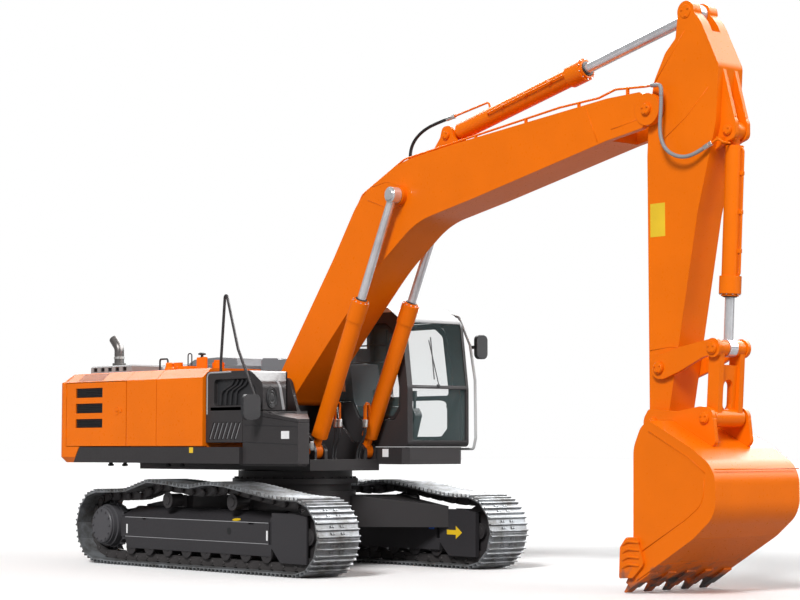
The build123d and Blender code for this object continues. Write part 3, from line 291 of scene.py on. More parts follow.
# %% A small helper for node trees
class Graph:
    """A node tree, with a short way to add each kind of node that the finishes need."""

    def __init__(self, tree):
        self.tree = tree

    def wire(self, node, inputs):
        """Give a node's inputs their values, or link them to other nodes' outputs."""
        for socket, value in inputs.items():
            if isinstance(value, bpy.types.NodeSocket):
                self.tree.links.new(value, node.inputs[socket])
            else:
                node.inputs[socket].default_value = value

    def add(self, kind, inputs=None, **settings):
        """Outputs of a new node of a kind, with its settings, and values or links on its inputs."""
        node = self.tree.nodes.new("ShaderNode" + kind)
        for key, value in settings.items():
            setattr(node, key, value)
        self.wire(node, inputs or {})
        return node.outputs

    def calc(self, operation, *values):
        """Result of one sum."""
        return self.add("Math", dict(enumerate(values)), operation=operation)[0]

    def ranged(self, value, source, target, **settings):
        """Value carried from a source range to a target range, and held at its ends."""
        ends = dict(enumerate((*source, *target), 1))
        return self.add("MapRange", {"Value": value, **ends}, **settings)[0]

    def noise(self, place, scale, detail, roughness=0.5):
        """Level of a noise: its lumps a metre, its finer layers, and how strong those are."""
        return self.add("TexNoise", {"Vector": place, "Scale": scale, "Detail": detail,
                                     "Roughness": roughness})["Fac"]

    def two_tone(self, level, dark, light, ends):
        """Colour between a dark and a light tone, by a level between two ends."""
        node = self.tree.nodes.new("ShaderNodeValToRGB")
        self.wire(node, {"Fac": level})
        for stop, position, tone in zip(node.color_ramp.elements, ends, (dark, light)):
            stop.position, stop.color = position, tone
        return node.outputs["Color"]

    def mixed(self, share, first, second):
        """Colour that goes from the first to the second as the share goes from 0 to 1."""
        return self.add("Mix", {0: share, 6: first, 7: second}, data_type="RGBA")[2]

    def gloss(self, level, roughness, spread):
        """Roughness that varies with a level, by a spread to each side of its middle value."""
        return self.ranged(level, LEVELS, (roughness - spread, roughness + spread))

    def rounded(self, radius):
        """Normal that rounds a shape's edges."""
        return self.add("Bevel", {"Radius": radius}, samples=4)[0]

    def bump(self, height, depth, **normal):
        """Normal of a relief with a depth in metres, over another Normal if one is given."""
        return self.add("Bump", {"Height": height, "Distance": depth, "Strength": 1.0, **normal})[0]


def new_material(name):
    """New material, its principled shader, and its graph."""
    material = bpy.data.materials.new(name)
    material.use_nodes = True
    return material, material.node_tree.nodes["Principled BSDF"], Graph(material.node_tree)


def tint(colour, share=1.0):
    """RGBA of a colour, darkened or lightened by a share."""
    return tuple(min(1.0, c * share) for c in colour) + (1.0,)


# %% Enamel
LEVELS = (0.3, 0.7)  # a noise stays mostly between these
TONE_NOISE, RAG_NOISE, GLOSS_NOISE = (0.8, 4.0, 0.6), (6.0, 6.0), (35.0, 5.0)
WAVE_NOISE, SKIN_NOISE = (2.2, 2.0), (260.0, 2.0)  # each: lumps a metre, and finer layers
PLATE_EDGE, PLATE_WAVE, SKIN_DEPTH = 0.006, 0.0015, 0.00008
TOP_EDGE, WORN_EDGE, WORN_RAGGED = 0.004, 0.12, 0.9  # half widths of a step in colour, and its rags
SQUARENESS, CLEARNESS = 7.0, 0.92  # power of a window's outline, and the share that it lets through


def glazing(graph, place, depths, centre, spans):
    """Opacity of a coat with windows in it: nearly clear in them, and solid elsewhere.

    Faces square to Y are clear where they lie within depths = (middle, half) in Y, or else in a
    rounded rectangle, |x / span|^7 + |z / span|^7 < 1, round the centre in X, Z.
    """
    split = graph.add("SeparateXYZ", {"Vector": place})
    in_pane = graph.calc("COMPARE", split["Y"], *depths)
    powers = []
    for side, at, span in zip("XZ", centre, spans):
        share = graph.calc("DIVIDE", graph.calc("SUBTRACT", split[side], at), span)
        powers.append(graph.calc("POWER", graph.calc("ABSOLUTE", share), SQUARENESS))
    in_outline = graph.calc("LESS_THAN", graph.calc("ADD", *powers), 1.0)
    facing = graph.add("SeparateXYZ", {"Vector": graph.add("TexCoord")["Normal"]})["Y"]
    square = graph.calc("GREATER_THAN", graph.calc("ABSOLUTE", facing), 0.5)
    clear = graph.calc("MULTIPLY", graph.calc("MAXIMUM", in_pane, in_outline), square)
    return graph.calc("MULTIPLY_ADD", clear, -CLEARNESS, 1.0)


def paint(name, colour, roughness, shine=0.3, worn=None, top=None, window=None):
    """Enamel on steel plate.

    Colour: a slow noise picks between a slightly darker and a slightly lighter tone. Relief: a
    fine noise for the skin, over a slow one for the plate. worn = (colour, height in metres): bare
    metal shows through a noise below that height. top = (colour, height): another colour above it.
    window = the depths, centre and spans that glazing takes.
    """
    material, shader, graph = new_material(name)
    place = graph.add("TexCoord")["Object"]
    slow = graph.noise(place, *TONE_NOISE)
    shade = graph.two_tone(slow, tint(colour, 0.93), tint(colour, 1.04), LEVELS)
    if top or worn:
        height = graph.add("SeparateXYZ", {"Vector": place})["Z"]
    if top:
        other, level = top
        above = graph.ranged(height, (level - TOP_EDGE, level + TOP_EDGE), (0.0, 1.0))
        shade = graph.mixed(above, shade, tint(other))
    if worn:
        other, level = worn
        rags = graph.calc("SUBTRACT", graph.noise(place, *RAG_NOISE), 0.5)
        seen = graph.calc("ADD", height, graph.calc("MULTIPLY", rags, WORN_RAGGED))
        below = graph.ranged(seen, (level - WORN_EDGE, level + WORN_EDGE), (1.0, 0.0))
        shade = graph.mixed(below, shade, tint(other))
    gloss = graph.gloss(graph.noise(place, *GLOSS_NOISE), roughness, 0.06)
    plate = graph.rounded(PLATE_EDGE)
    waves = graph.bump(graph.noise(place, *WAVE_NOISE), PLATE_WAVE, Normal=plate)
    skin = graph.bump(graph.noise(place, *SKIN_NOISE), SKIN_DEPTH, Normal=waves)
    graph.wire(shader, {"Base Color": shade, "Roughness": gloss, "Normal": skin,
                        "Specular IOR Level": shine})
    if window:
        graph.wire(shader, {"Alpha": glazing(graph, place, *window)})
    return material


# %% Bare metal, plastic, rubber, cloth and glass
METAL_EDGE = 0.003


def metal(name, colour, roughness, metallic, pits=0.0006, grain=60.0, stain=None):
    """Bare or cast metal: a tone that goes in patches to a second colour, and pitted relief."""
    material, shader, graph = new_material(name)
    place = graph.add("TexCoord")["Object"]
    patch = graph.noise(place, 4.0, 5.0, 0.7)
    tone = graph.two_tone(patch, tint(stain or colour, 0.85), tint(colour, 1.08), (0.35, 0.65))
    speck = graph.noise(place, grain, 6.0, 0.65)
    relief = graph.bump(speck, pits, Normal=graph.rounded(METAL_EDGE))
    graph.wire(shader, {"Base Color": tone, "Roughness": graph.gloss(patch, roughness, -0.08),
                        "Normal": relief, "Metallic": metallic})
    return material


def plain(name, colour, roughness, grain=400.0, depth=0.0001, sheen=0.0):
    """Moulded plastic, rubber or cloth: one tone, with a fine grain in its relief and gloss."""
    material, shader, graph = new_material(name)
    place = graph.add("TexCoord")["Object"]
    slow = graph.noise(place, 3.0, 3.0)
    tone = graph.two_tone(slow, tint(colour, 0.8), tint(colour, 1.2), (0.0, 1.0))
    fine = graph.noise(place, grain, 3.0)
    graph.wire(shader, {"Base Color": tone, "Roughness": graph.gloss(fine, roughness, 0.05),
                        "Normal": graph.bump(fine, depth), "Sheen Weight": sheen})
    return material


def pane(name, colour, opacity):
    """Cab glass: a thin tinted pane, seen through, with a mirror-like surface."""
    material, shader, graph = new_material(name)
    dust = graph.noise(graph.add("TexCoord")["Object"], 5.0, 4.0)
    graph.wire(shader, {"Base Color": tint(colour), "Alpha": opacity, "Specular IOR Level": 0.5,
                        "Roughness": graph.gloss(dust, 0.04, 0.02)})
    return material


# %% One finish for each kind of surface
ORANGE, CHARCOAL, PALE = (0.84, 0.165, 0.002), (0.036, 0.033, 0.034), (0.46, 0.47, 0.47)
DOOR_WINDOWS = ((1.463, 0.0045), (0.72, 1.8), (0.47, 0.225))
PAINTS = {  # finish: colour, roughness, and what else the coat has
    "orange_paint": (ORANGE, 0.32, {"shine": 0.14}),
    "dark_paint": (CHARCOAL, 0.42, {}),
    "grey_paint": ((0.2, 0.2, 0.21), 0.45, {}),
    "roof_grey": (PALE, 0.4, {}),
    # light_grey also paints highlights: the frames' long edges and the front cover's slots and edge
    "light_grey": ((0.36, 0.36, 0.37), 0.5, {}),
    "hub_paint": ((0.08, 0.078, 0.084), 0.4, {}),
    "beam_paint": ((0.038, 0.036, 0.039), 0.42, {}),
    # the cab's top above 3.075 m is pale grey, made lighter still as a painted highlight of the sky
    # on the roof
    "cab_paint": (CHARCOAL, 0.38, {"top": ((0.6, 0.61, 0.61), 3.075)}),
    "door_paint": (CHARCOAL, 0.38, {"window": DOOR_WINDOWS}),
    "cover_paint": (ORANGE, 0.32, {"shine": 0.14, "top": ((0.3, 0.3, 0.3), 2.388)}),
    "bucket_paint": (ORANGE, 0.32, {"shine": 0.16, "worn": ((0.1, 0.09, 0.085), 0.14)}),
}
METALS = {  # finish: colour, roughness, how metallic it is, and what else it has
    "worn_steel": ((0.27, 0.285, 0.3), 0.42, 0.5, {"stain": (0.13, 0.125, 0.12)}),
    "link_steel": ((0.055, 0.05, 0.05), 0.5, 0.3, {}),
    "bright_rod": ((0.8, 0.8, 0.82), 0.16, 0.62, {"pits": 0.00002, "grain": 20.0}),
    "zinc": ((0.62, 0.62, 0.6), 0.34, 0.85, {"pits": 0.0001}),
    "sooty_steel": ((0.16, 0.15, 0.145), 0.4, 0.7, {}),
}
SOFTER = {  # finish: colour, roughness, and what else it has
    # black_plastic also paints shade: the sheets behind slots and in the cover's recess;
    # black_rubber the shade of a hole in the frame
    "black_plastic": ((0.02, 0.02, 0.022), 0.5, {}),
    "black_rubber": ((0.012, 0.012, 0.013), 0.55, {}),
    "grey_rubber": ((0.27, 0.27, 0.28), 0.5, {}),
    # dark grey grille, tinted brown as a painted reflection of the orange round it
    "grille_brown": ((0.09, 0.05, 0.03), 0.6, {}),
    "seat_cloth": ((0.05, 0.05, 0.055), 0.85, {"grain": 900.0, "depth": 0.0004, "sheen": 0.3}),
    # label_white also paints the two highlight strips on the right frame
    "label_white": ((0.8, 0.8, 0.8), 0.35, {}),
    "label_yellow": ((0.8, 0.52, 0.02), 0.35, {}),
    "label_blue": ((0.02, 0.1, 0.45), 0.35, {}),
    "lens": ((0.75, 0.77, 0.78), 0.12, {}),
}
FINISHES = {"glass": pane("glass", (0.35, 0.52, 0.53), 0.07)}
for make, table in ((paint, PAINTS), (metal, METALS), (plain, SOFTER)):
    for name, (*values, more) in table.items():
        FINISHES[name] = make(name, *values, **more)
print(len(FINISHES), "finishes")

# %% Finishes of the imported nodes
NODE_FINISH = {  # nodes whose finish isn't simply their slot's
    "cab_shell": "cab_paint", "cab_door": "door_paint", "bucket": "bucket_paint",
    "top_cover": "cover_paint", "track_frame_right": "beam_paint", "track_frame_left": "beam_paint",
    "sprocket_right": "hub_paint", "sprocket_left": "hub_paint",
}
for part in frame["record"]["subparts"]:
    node = nodes[part["node"]]
    node.data.materials.clear()
    node.data.materials.append(FINISHES[NODE_FINISH.get(part["node"], part["material_slot"])])

# %% [markdown]
# ## Hoses
# Steel pipes carry the oil along the boom, and short rubber hoses bridge the joints. A hose is a
# fixed length of stiff tube: it leaves its fitting straight, and takes the widest bend that its
# ends allow. So each one follows a smooth line through a few points, and its rings are spaced
# evenly along that line. The arm's hose wears a spiral guard, which is a wave round its rings.

# %% Rings along a smooth line
LINE_STEPS, LINE_ORDER = 24, 3
HOSE_SIDES, RING_STEP, GUARD_PITCH = 14, 0.006, 0.02


def smooth_line(route):
    """Points of the NURBS line that has the route's points as its control points."""
    curve = bpy.data.curves.new("line", "CURVE")
    curve.dimensions = "3D"
    curve.resolution_u = LINE_STEPS
    spline = curve.splines.new("NURBS")
    spline.points.add(len(route) - 1)
    spline.points.foreach_set("co", np.column_stack([route, np.ones(len(route))]).ravel())
    spline.order_u = LINE_ORDER
    spline.use_endpoint_u = True
    holder = bpy.data.objects.new("line", curve)
    mesh = bpy.data.meshes.new_from_object(holder)
    points = np.empty(len(mesh.vertices) * 3)
    mesh.vertices.foreach_get("co", points)
    bpy.data.objects.remove(holder)
    bpy.data.curves.remove(curve)
    bpy.data.meshes.remove(mesh)
    return points.reshape(-1, 3)


def reach_along(line):
    """Length of a line from its start to each of its points."""
    return np.concatenate([[0], np.cumsum(np.linalg.norm(np.diff(line, axis=0), axis=1))])


def tube_rings(line, radius, ridge=0.0):
    """Rings square to a line, evenly spaced, with a spiral ridge of a share of the radius.

    The ridge is a cosine of the angle round the hose less a full turn for each pitch along it.
    """
    reach = reach_along(line)
    s = np.linspace(0, reach[-1], max(8, int(reach[-1] / RING_STEP)))
    path = np.stack([np.interp(s, reach, line[:, i]) for i in range(3)], axis=-1)
    angle, ring = circle(HOSE_SIDES)
    swell = 1 + ridge * (np.cos(angle - 2 * np.pi * s[:, None] / GUARD_PITCH) - 1)
    rings = np.einsum("km,mi,kij->kmj", swell, ring, axes_along(path))
    return path[:, None] + radius * rings, reach[-1]


# %% Hoses from fitting to fitting
def hose(node, route, diameter, finish, ridge=0.0):
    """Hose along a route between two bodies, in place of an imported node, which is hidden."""
    line = smooth_line(np.array(route))
    rings, length = tube_rings(line, diameter / 2, ridge)
    piece = make_piece(node + "_tube", None, finish, stacks(rings[None]), smooth=True)
    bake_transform(piece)
    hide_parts(node)
    print(node, round(length, 3), "m long")


GUARD_RIDGE = 0.05
SIDES = (("right", -1), ("left", 1))
hose("arm_hose", [
    (6.345, -0.3, 4.975), (6.345, -0.3, 4.86), (6.325, -0.302, 4.7), (6.335, -0.304, 4.545),
    (6.4, -0.304, 4.425), (6.51, -0.298, 4.352), (6.64, -0.29, 4.322), (6.762, -0.273, 4.345),
    (6.851, -0.248, 4.394),
], 0.042, "grey_rubber", GUARD_RIDGE)
hose("arm_cylinder_hose", [
    (2.15, 0, 4.745), (2.15, 0, 4.85), (2.19, 0, 4.96), (2.285, 0, 5.05), (2.43, 0, 5.118),
    (2.61, 0, 5.16), (2.79, 0, 5.186),
], 0.038, "black_rubber")
BOOM_HOSES = (  # row, then X and distance from the middle at its upper and its lower end
    ("rear", (1.058, 0.222), (0.98, 0.205)),
    ("front", (1.112, 0.2), (0.985, 0.165)),
)
for side, sign in SIDES:
    for row, (top_x, top_y), (low_x, low_y) in BOOM_HOSES:
        hose(f"boom_hose_{side}_{row}", [
            (top_x, sign * top_y, 1.68), (top_x, sign * top_y, 1.572),
            (low_x, sign * low_y, 1.428), (low_x, sign * low_y, 1.32),
        ], 0.024, "black_rubber")

# %% [markdown]
# ## Pins, caps and bolts
# Every joint of the front is a hardened pin held by a round cap or a flag bolted to the boss. On
# the real machine these are turned on a lathe, and so they are here: a profile of radii and
# heights spun round the axis. Bolt heads are the same thing with six sides.

# %% Caps on the pins, and rings of bolts
FIRST_BOLT = 0.6  # angle of the first bolt of a ring


def ring_of(centre, axis, radius, count):
    """Centres of a number of bolts: radius times (cosine, sine) of even angles round an axis."""
    first, second, _ = axes_round(axis)
    angle = (FIRST_BOLT + np.arange(count) * 2 * np.pi / count)[:, None]
    return np.asarray(centre) + radius * (np.cos(angle) * first + np.sin(angle) * second)


CAP_SIDES, HEX = 28, 6
CAP_FACE, BOLT_SHARE = 0.009, 0.66  # how far a cap stands out, and where on it its bolts sit
HEAD = [(0.012, 0.0), (0.012, 0.008), (0.01, 0.01)]
CAPS = {  # body: rows of X, Z, distance from the middle, radius, bolts
    "boom": [(6.12, 4.87, 0.295, 0.056, 3), (2.9, 4.985, 0.124, 0.046, 2)],
    "house": [(0.14, 2.12, 0.36, 0.052, 3), (0.875, 1.4, 0.49, 0.044, 3)],
    "arm": [(7.05, 4.57, 0.128, 0.046, 2), (6.23, 2.24, 0.262, 0.054, 3),
            (6.185, 1.69, 0.3, 0.048, 3), (6.575, 5.815, 0.185, 0.07, 3)],
    "bucket": [(6.867, 1.735, 0.306, 0.052, 3)],
    "rocker_links": [(6.93, 2.42, 0.256, 0.054, 3)],
}
for body, rows in CAPS.items():
    parts = []
    for x, z, y, radius, count in rows:
        for out in (-Y, Y):
            rim = [(radius, -0.003), (radius, 0.005), (radius - 0.004, CAP_FACE),
                   (radius * 0.3, CAP_FACE + 0.001)]
            parts.append(turned(rim, [(x, out[1] * y, z)], out, CAP_SIDES))
            seats = ring_of((x, out[1] * (y + CAP_FACE), z), out, radius * BOLT_SHARE, count)
            parts.append(turned(HEAD, seats, out, HEX))
    make_piece(f"pin_caps_{body}", body, "orange_paint", *parts)

# %% Silver fittings and the elbow's rubber guard
sleeves = {  # body: both ends of each fitting
    "arm_cylinder": [((2.793, 0, 5.1865), (2.936, 0, 5.2071))],
    "arm": [((6.853, -0.2475, 4.395), (6.943, -0.2225, 4.445))],
}
for side, sign in SIDES:
    sleeves[f"boom_cylinder_{side}"] = [
        ((x, sign * y, 1.684), (x, sign * y, 1.776)) for _, (x, y), _ in BOOM_HOSES
    ]
for body, ends in sleeves.items():
    parts = []
    for start, end in ends:
        run, span = np.subtract(end, start), math.dist(start, end)
        crimp = [(0.0225, 0.0), (0.0245, 0.004), (0.0245, span * 0.55), (0.0215, span * 0.6)]
        nut = [(0.0215, span * 0.6), (0.027, span * 0.62), (0.027, span * 0.94), (0.023, span)]
        parts += [turned(crimp, [start], run, 20), turned(nut, [start], run, HEX)]
    make_piece(f"hose_fittings_{body}", body, "zinc", *parts)
elbow = bend([(6.185, -0.263, 5.1062), (6.345, -0.3, 5.088), (6.345, -0.3, 4.977)], 0.07, 12)
guard, _ = tube_rings(elbow, 0.0225, GUARD_RIDGE)
make_piece("arm_hose_guard", "boom", "grey_rubber", stacks(guard[None]), smooth=True)

# %% [markdown]
# ## Pipes and glands of the cylinders
# Oil for the rod end runs in a steel pipe clamped along the barrel. It is bent cold from one
# length, so its path is straight runs and arcs of one radius, and each clamp is a small block.
# A gland is screwed into the end of the barrel, with a ring of bolts and a rubber lip.

# %% Pipes, clamps and glands on the barrels
CYLINDERS = {  # body: foot, eye, span of the pipe, its offset, and length, gland and rod radii
    "bucket_cylinder": ((7.05, 0, 4.57), (6.93, 0, 2.42), (0.17, 1.45), (0.117, 0, -0.0065),
                        (1.64, 0.11, 0.047)),
    "arm_cylinder": ((2.9, 0, 4.985), (6.575, 0, 5.815), (0.7, 1.97), (0, -0.128, 0),
                     (2.18, 0.124, 0.057)),
}
for side, sign in SIDES:
    CYLINDERS[f"boom_cylinder_{side}"] = (
        (0.875, sign * 0.387, 1.4), (2.3, sign * 0.387, 4.33), (0.62, 1.75),
        (-0.106, 0, 0.0515), (1.955, 0.106, 0.05))
ELBOW_RUN, ELBOW_DIP = 0.03, 0.75  # where a pipe turns in to the barrel, and how far it comes in
PIPE_BEND, PIPE_RADIUS = 0.04, 0.01
CLAMP_SHARES, CLAMP_REACH = np.array([[0.2], [0.5], [0.8]]), 0.9  # along the pipe, and out to it
CLAMP_HALF, CLAMP_EDGE = (0.02, 0.018, 0.022), 0.004
STUDS, STUD_BACK, STUD_IN = 10, 0.024, 0.012  # number, and place behind the gland's lip and rim
STUD = [(0.008, 0), (0.008, 0.009), (0.006, 0.011)]
for body, (foot, eye, span, out, (length, wide, rod)) in CYLINDERS.items():
    foot, out, along = np.array(foot), np.array(out), unit(np.subtract(eye, foot))
    low, high = foot + along * span[0], foot + along * span[1]
    path = bend([low + out * ELBOW_DIP, low + out + along * ELBOW_RUN,
                 high + out - along * ELBOW_RUN, high + out * ELBOW_DIP], PIPE_BEND)
    seats = low + (high - low) * CLAMP_SHARES + out * CLAMP_REACH
    clamps = blocks(seats, CLAMP_HALF, CLAMP_EDGE, axes(along, out))
    make_piece(f"barrel_pipe_{body}", body, "orange_paint", bar(path, PIPE_RADIUS), clamps)
    lip = [(rod + 0.003, 0.0), (wide * 0.66, 0.0), (wide * 0.66, 0.008), (rod + 0.01, 0.012),
           (rod + 0.003, 0.012)]
    lip_ring = turned(lip, [foot + along * length], along, 32, caps=False)
    make_piece(f"gland_lip_{body}", body, "black_rubber", lip_ring)
    studs = ring_of(foot + along * (length - STUD_BACK), along, wide - STUD_IN, STUDS)
    make_piece(f"gland_bolts_{body}", body, "zinc", turned(STUD, studs, along, HEX))

# %% [markdown]
# ## Doors, louvres and the roof
# The doors are pressed sheet. A thin black sheet just behind each slot is painted shade of the bay
# inside, and slanted blades let air in and keep rain out. A blade is a long thin block, turned a
# little about its length.

# %% Painted shade and blades behind the slots of the doors
SHEET, SHEET_EDGE = 0.0012, 0.0004  # half the thickness of a thin sheet, and its chamfer
BLADE, BLADE_EDGE, BLADE_TILT = (0.01, 0.0016), 0.0007, 0.5


def blades(span, y, heights):
    """Long thin blocks along X at given heights, turned about X by the blades' tilt."""
    centres = np.array([((span[0] + span[1]) / 2, y, z) for z in heights])
    cosine, sine = math.cos(BLADE_TILT), math.sin(BLADE_TILT)
    turn = np.array([(1, 0, 0), (0, cosine, sine), (0, -sine, cosine)])
    return blocks(centres, ((span[1] - span[0]) / 2, *BLADE), BLADE_EDGE, turn)


SLOTS = [(2.072, 2.192), (1.875, 1.998), (1.69, 1.802)]
louvres = []
# a thin black sheet just behind each slot: painted shade of the bay inside
for low, high in SLOTS:
    half = (0.311, SHEET, (high - low) / 2 - 0.002)
    louvres.append(blocks([(-2.3475, -1.4714, (low + high) / 2)], half, SHEET_EDGE))
for low, high in SLOTS:
    louvres.append(blades((-2.655, -2.04), -1.481, np.linspace(low + 0.016, high - 0.016, 5)))
make_piece("pump_door_blades_and_shade", "pump_door", "black_plastic", *louvres)
cup = [(0.052, 0.0), (0.052, 0.004), (0.044, 0.005), (0.04, 0.002), (0.014, 0.002),
       (0.012, 0.005), (0.002, 0.005)]
latch = turned(cup, [(-1.712, -1.495, 1.895)], -Y, 32)
handle = blocks([(-1.712, -1.5005, 1.895)], (0.03, 0.003, 0.008), 0.002)
make_piece("pump_door_latch", "pump_door", "orange_paint", latch, handle)
left_slots = [(-2.18, 1.4714, 1.621 + 0.085 * i) for i in range(7)]
# thin black sheets behind the radiator door's seven slots: painted shade
left_shade = blocks(left_slots, (0.478, SHEET, 0.019), SHEET_EDGE)
make_piece("radiator_door_shade", "radiator_door", "black_plastic", left_shade)

# %% Grille on the shoulder, louvred box, caps and brackets on the roof
slope_from, slope_to = np.array([0, -1.495, 2.27]), np.array([0, -1.365, 2.385])
outward = unit(np.cross(slope_to - slope_from, X))
rows = slope_from + (slope_to - slope_from) * np.linspace(0.1, 0.9, 13)[:, None] + outward * 0.001
grille = blocks(rows + X * -2.34, (0.29, 0.0034, 0.0016), 0.0006, axes(outward, X))
# the grille's brown tint is a painted reflection of the orange paint round it
make_piece("shoulder_grille", "house", "grille_brown", grille)
BOX_SLOTS = (-2.79, -2.62, -2.45, -2.28, -2.11)
# thin black sheets at the back of the box's slots: painted shade, behind the fins
vent_shade = blocks([(x + 0.045, -1.1214, 2.44) for x in BOX_SLOTS], (0.043, SHEET, 0.023), SHEET_EDGE)
fins = [blades((x + 0.003, x + 0.087), -1.136, (2.424, 2.44, 2.456)) for x in BOX_SLOTS]
make_piece("roof_box_fins_and_shade", "house", "black_plastic", vent_shade, *fins)
cap_profile = [(0.066, -0.002), (0.062, 0.03), (0.05, 0.05), (0.048, 0.09), (0.04, 0.104),
               (0.002, 0.108)]
cap = turned(cap_profile, [(-1.1, -1.12, 2.385)], Z, 24)
bracket = blocks([(-0.44, -1.1, 2.462)], (0.1, 0.018, 0.078), 0.01)
make_piece("roof_caps", "house", "orange_paint", cap, bracket)
knob_profile = [(0.018, -0.002), (0.016, 0.02), (0.046, 0.026), (0.048, 0.042), (0.036, 0.052),
                (0.002, 0.054)]
knob = turned(knob_profile, [(-0.44, -1.1, 2.54)], Z)
HANDLES = (  # corners of a bent bar, as X and Z, and its radius
    ((-1.635, 2.383), (-1.635, 2.555), (-1.46, 2.555), (-1.46, 2.43), 0.012),
    ((-1.02, 2.444), (-1.02, 2.605), (-0.94, 2.605), (-0.94, 2.444), 0.008),
)
handles = [bar(bend(at_side(corners, -0.9), 0.03), radius, 8) for *corners, radius in HANDLES]
make_piece("roof_handles", "house", "black_plastic", knob, *handles)
band = [(0.0615, -0.016), (0.068, -0.014), (0.068, 0.014), (0.0615, 0.016)]
clamp = turned(band, [(-2.57, -0.9, 2.6)], Z, CAP_SIDES, caps=False)
make_piece("exhaust_clamp", "house", "zinc", clamp)

# %% [markdown]
# ## Skirt, front cover and tool box
# Rubber stops hang under the deck. The front cover is a moulded housing, with a ribbed oval plug
# on its face and a pale post at its corner; light grey bars in its slots and along its left and top
# edges are painted highlights. Signs are left blank.

# %% Stops, painted highlights and plug
stops = turned([(0.03, 0.0), (0.038, 0.006), (0.038, 0.022), (0.024, 0.03), (0.024, 0.045)],
               [(x, -1.4, 1.209) for x in (-1.972, -1.654, -0.714, -0.419)], Z, 14)
make_piece("deck_stops", "house", "black_rubber", stops)
# seven light grey bars slanted in the cover's slots: painted highlights on its louvres
highlight_at = [(0.26 + 0.084 * i, -1.441, 1.635) for i in range(7)]
ribs = blocks(highlight_at, (0.005, 0.004, 0.104), 0.0015, axes((0.1, 0, 0.2), Y))
# a light grey bar up the cover's rounded left edge and along its top: a painted highlight
cover_edge_highlight = bar(bend(at_side([(0.163, 1.83), (0.163, 2.318), (0.64, 2.322)], -1.448), 0.06), 0.011)
edge = [(1.2, -1.215, 2.215), (1.25, -1.2, 2.13), (1.25, -1.15, 1.878)]
strip = bar(bend(edge, 0.08), 0.018, 12)
make_piece("cover_highlights_and_post", "house", "light_grey", ribs, cover_edge_highlight, strip)
wave = [(0.5, -0.004), (0.5, 0.01), (0.46, 0.016), (0.42, 0.01), (0.38, 0.016), (0.33, 0.01),
        (0.28, 0.015), (0.2, 0.01), (0.12, 0.014), (0.02, 0.014)]
points, faces = turned(wave, [(0, 0, 0)], X, 36)
plug = (points * np.array([1, 0.155, 0.255]) + np.array([1.2495, -1.325, 2.015]), faces)
make_piece("cover_plug", "house", "black_rubber", plug)

# %% Painted shade in the recess of the front cover, with its tubes
# the first block is a thin black sheet across the recess: painted shade
dark = blocks([(0.69, -1.4064, 2.085), (0.56, -1.436, 1.893)],
              [(0.375, SHEET, 0.15), (0.33, 0.014, 0.02)], 0.001)
tubes = []
for i in range(4):
    line = [(0.4 + 0.1 * i, 1.94), (0.42 + 0.1 * i, 2.1), (0.62 + 0.09 * i, 2.17),
            (0.66 + 0.09 * i, 2.23)]
    tubes.append(bar(bend(at_side(line, -1.425), 0.08), 0.013, 8))
make_piece("cover_recess_shade_and_tubes", "house", "black_plastic", dark, *tubes)

# %% Blank labels, two painted highlights, seams of the tool box and the work lamp
LABELS_AND_HIGHLIGHTS = {  # name: finish, body, centre, half sizes of a plate that faces the right side
    "skirt_mark": ("label_yellow", "house", (-0.097, -1.4958, 1.41), (0.04, 0.033)),
    "toolbox_label": ("label_white", "house", (1.67, -1.4508, 1.583), (0.074, 0.044)),
    "cab_label": ("label_white", "house", (1.139, 0.4852, 1.375), (0.056, 0.048)),
    "arm_label": ("label_yellow", "arm", (6.18, -0.1858, 3.74), (0.1, 0.17)),
    # two white vertical strips on the right frame's face: painted highlights
    "beam_mark_rear": ("label_white", "undercarriage", (-1.558, -1.4258, 0.44), (0.015, 0.056)),
    "beam_mark_front": ("label_white", "undercarriage", (1.307, -1.4258, 0.44), (0.015, 0.056)),
    "beam_sticker": ("label_blue", "undercarriage", (1.25, 1.1292, 0.49), (0.05, 0.04)),
}
for name, (finish, body, centre, (wide, tall)) in LABELS_AND_HIGHLIGHTS.items():
    make_piece(name, body, finish, blocks([centre], (wide, 0.001, tall), 0.0006))
x = np.linspace(0.875, 1.9, 24)
seams = [bar(at_side(np.stack([x, top - 0.03 * (x - x[0])], -1), -1.4498), 0.004, 8)
         for top in (1.505, 1.703)]
make_piece("toolbox_beads", "house", "black_plastic", *seams)
lamp_profile = [(0.028, -0.004), (0.03, 0.012), (0.05, 0.022), (0.052, 0.052), (0.047, 0.056),
                (0.002, 0.058)]
lamp = turned(lamp_profile, [(1.68, -1.1215, 1.46)], unit((0.49, 0.655, 0)), 24)
make_piece("work_lamp", "house", "lens", lamp)

# %% [markdown]
# ## Cab
# The windows are bonded into rubber, with a black printed border that hides the glue. Two guard
# bars cross the right window, and a wiper rests on the windscreen.

# %% Seal, printed border, bars and wiper
WINDOW = np.array([(-0.14, 1.99), (-0.14, 2.95), (1.11, 2.95), (1.262, 2.85), (1.4, 2.15),
                   (1.4, 1.9), (1.29, 1.77), (0.62, 1.77), (0.48, 1.99)])
WINDOW_CORNER, WINDOW_Y, SEAL_Y = 0.07, 0.5225, 0.5135


def window_loop(inset, y):
    """Rounded outline of the right window, drawn in by an inset, at a distance from the middle.

    Each corner's distance from the window's centre shrinks by the inset over the half size.
    """
    centre = (WINDOW.max(0) + WINDOW.min(0)) / 2
    half = (WINDOW.max(0) - WINDOW.min(0)) / 2
    flat = centre + (WINDOW - centre) * (1 - inset / half)
    start = (flat[:1] + flat[-1:]) / 2
    return bend(at_side(np.concatenate([start, flat, start]), y), WINDOW_CORNER)


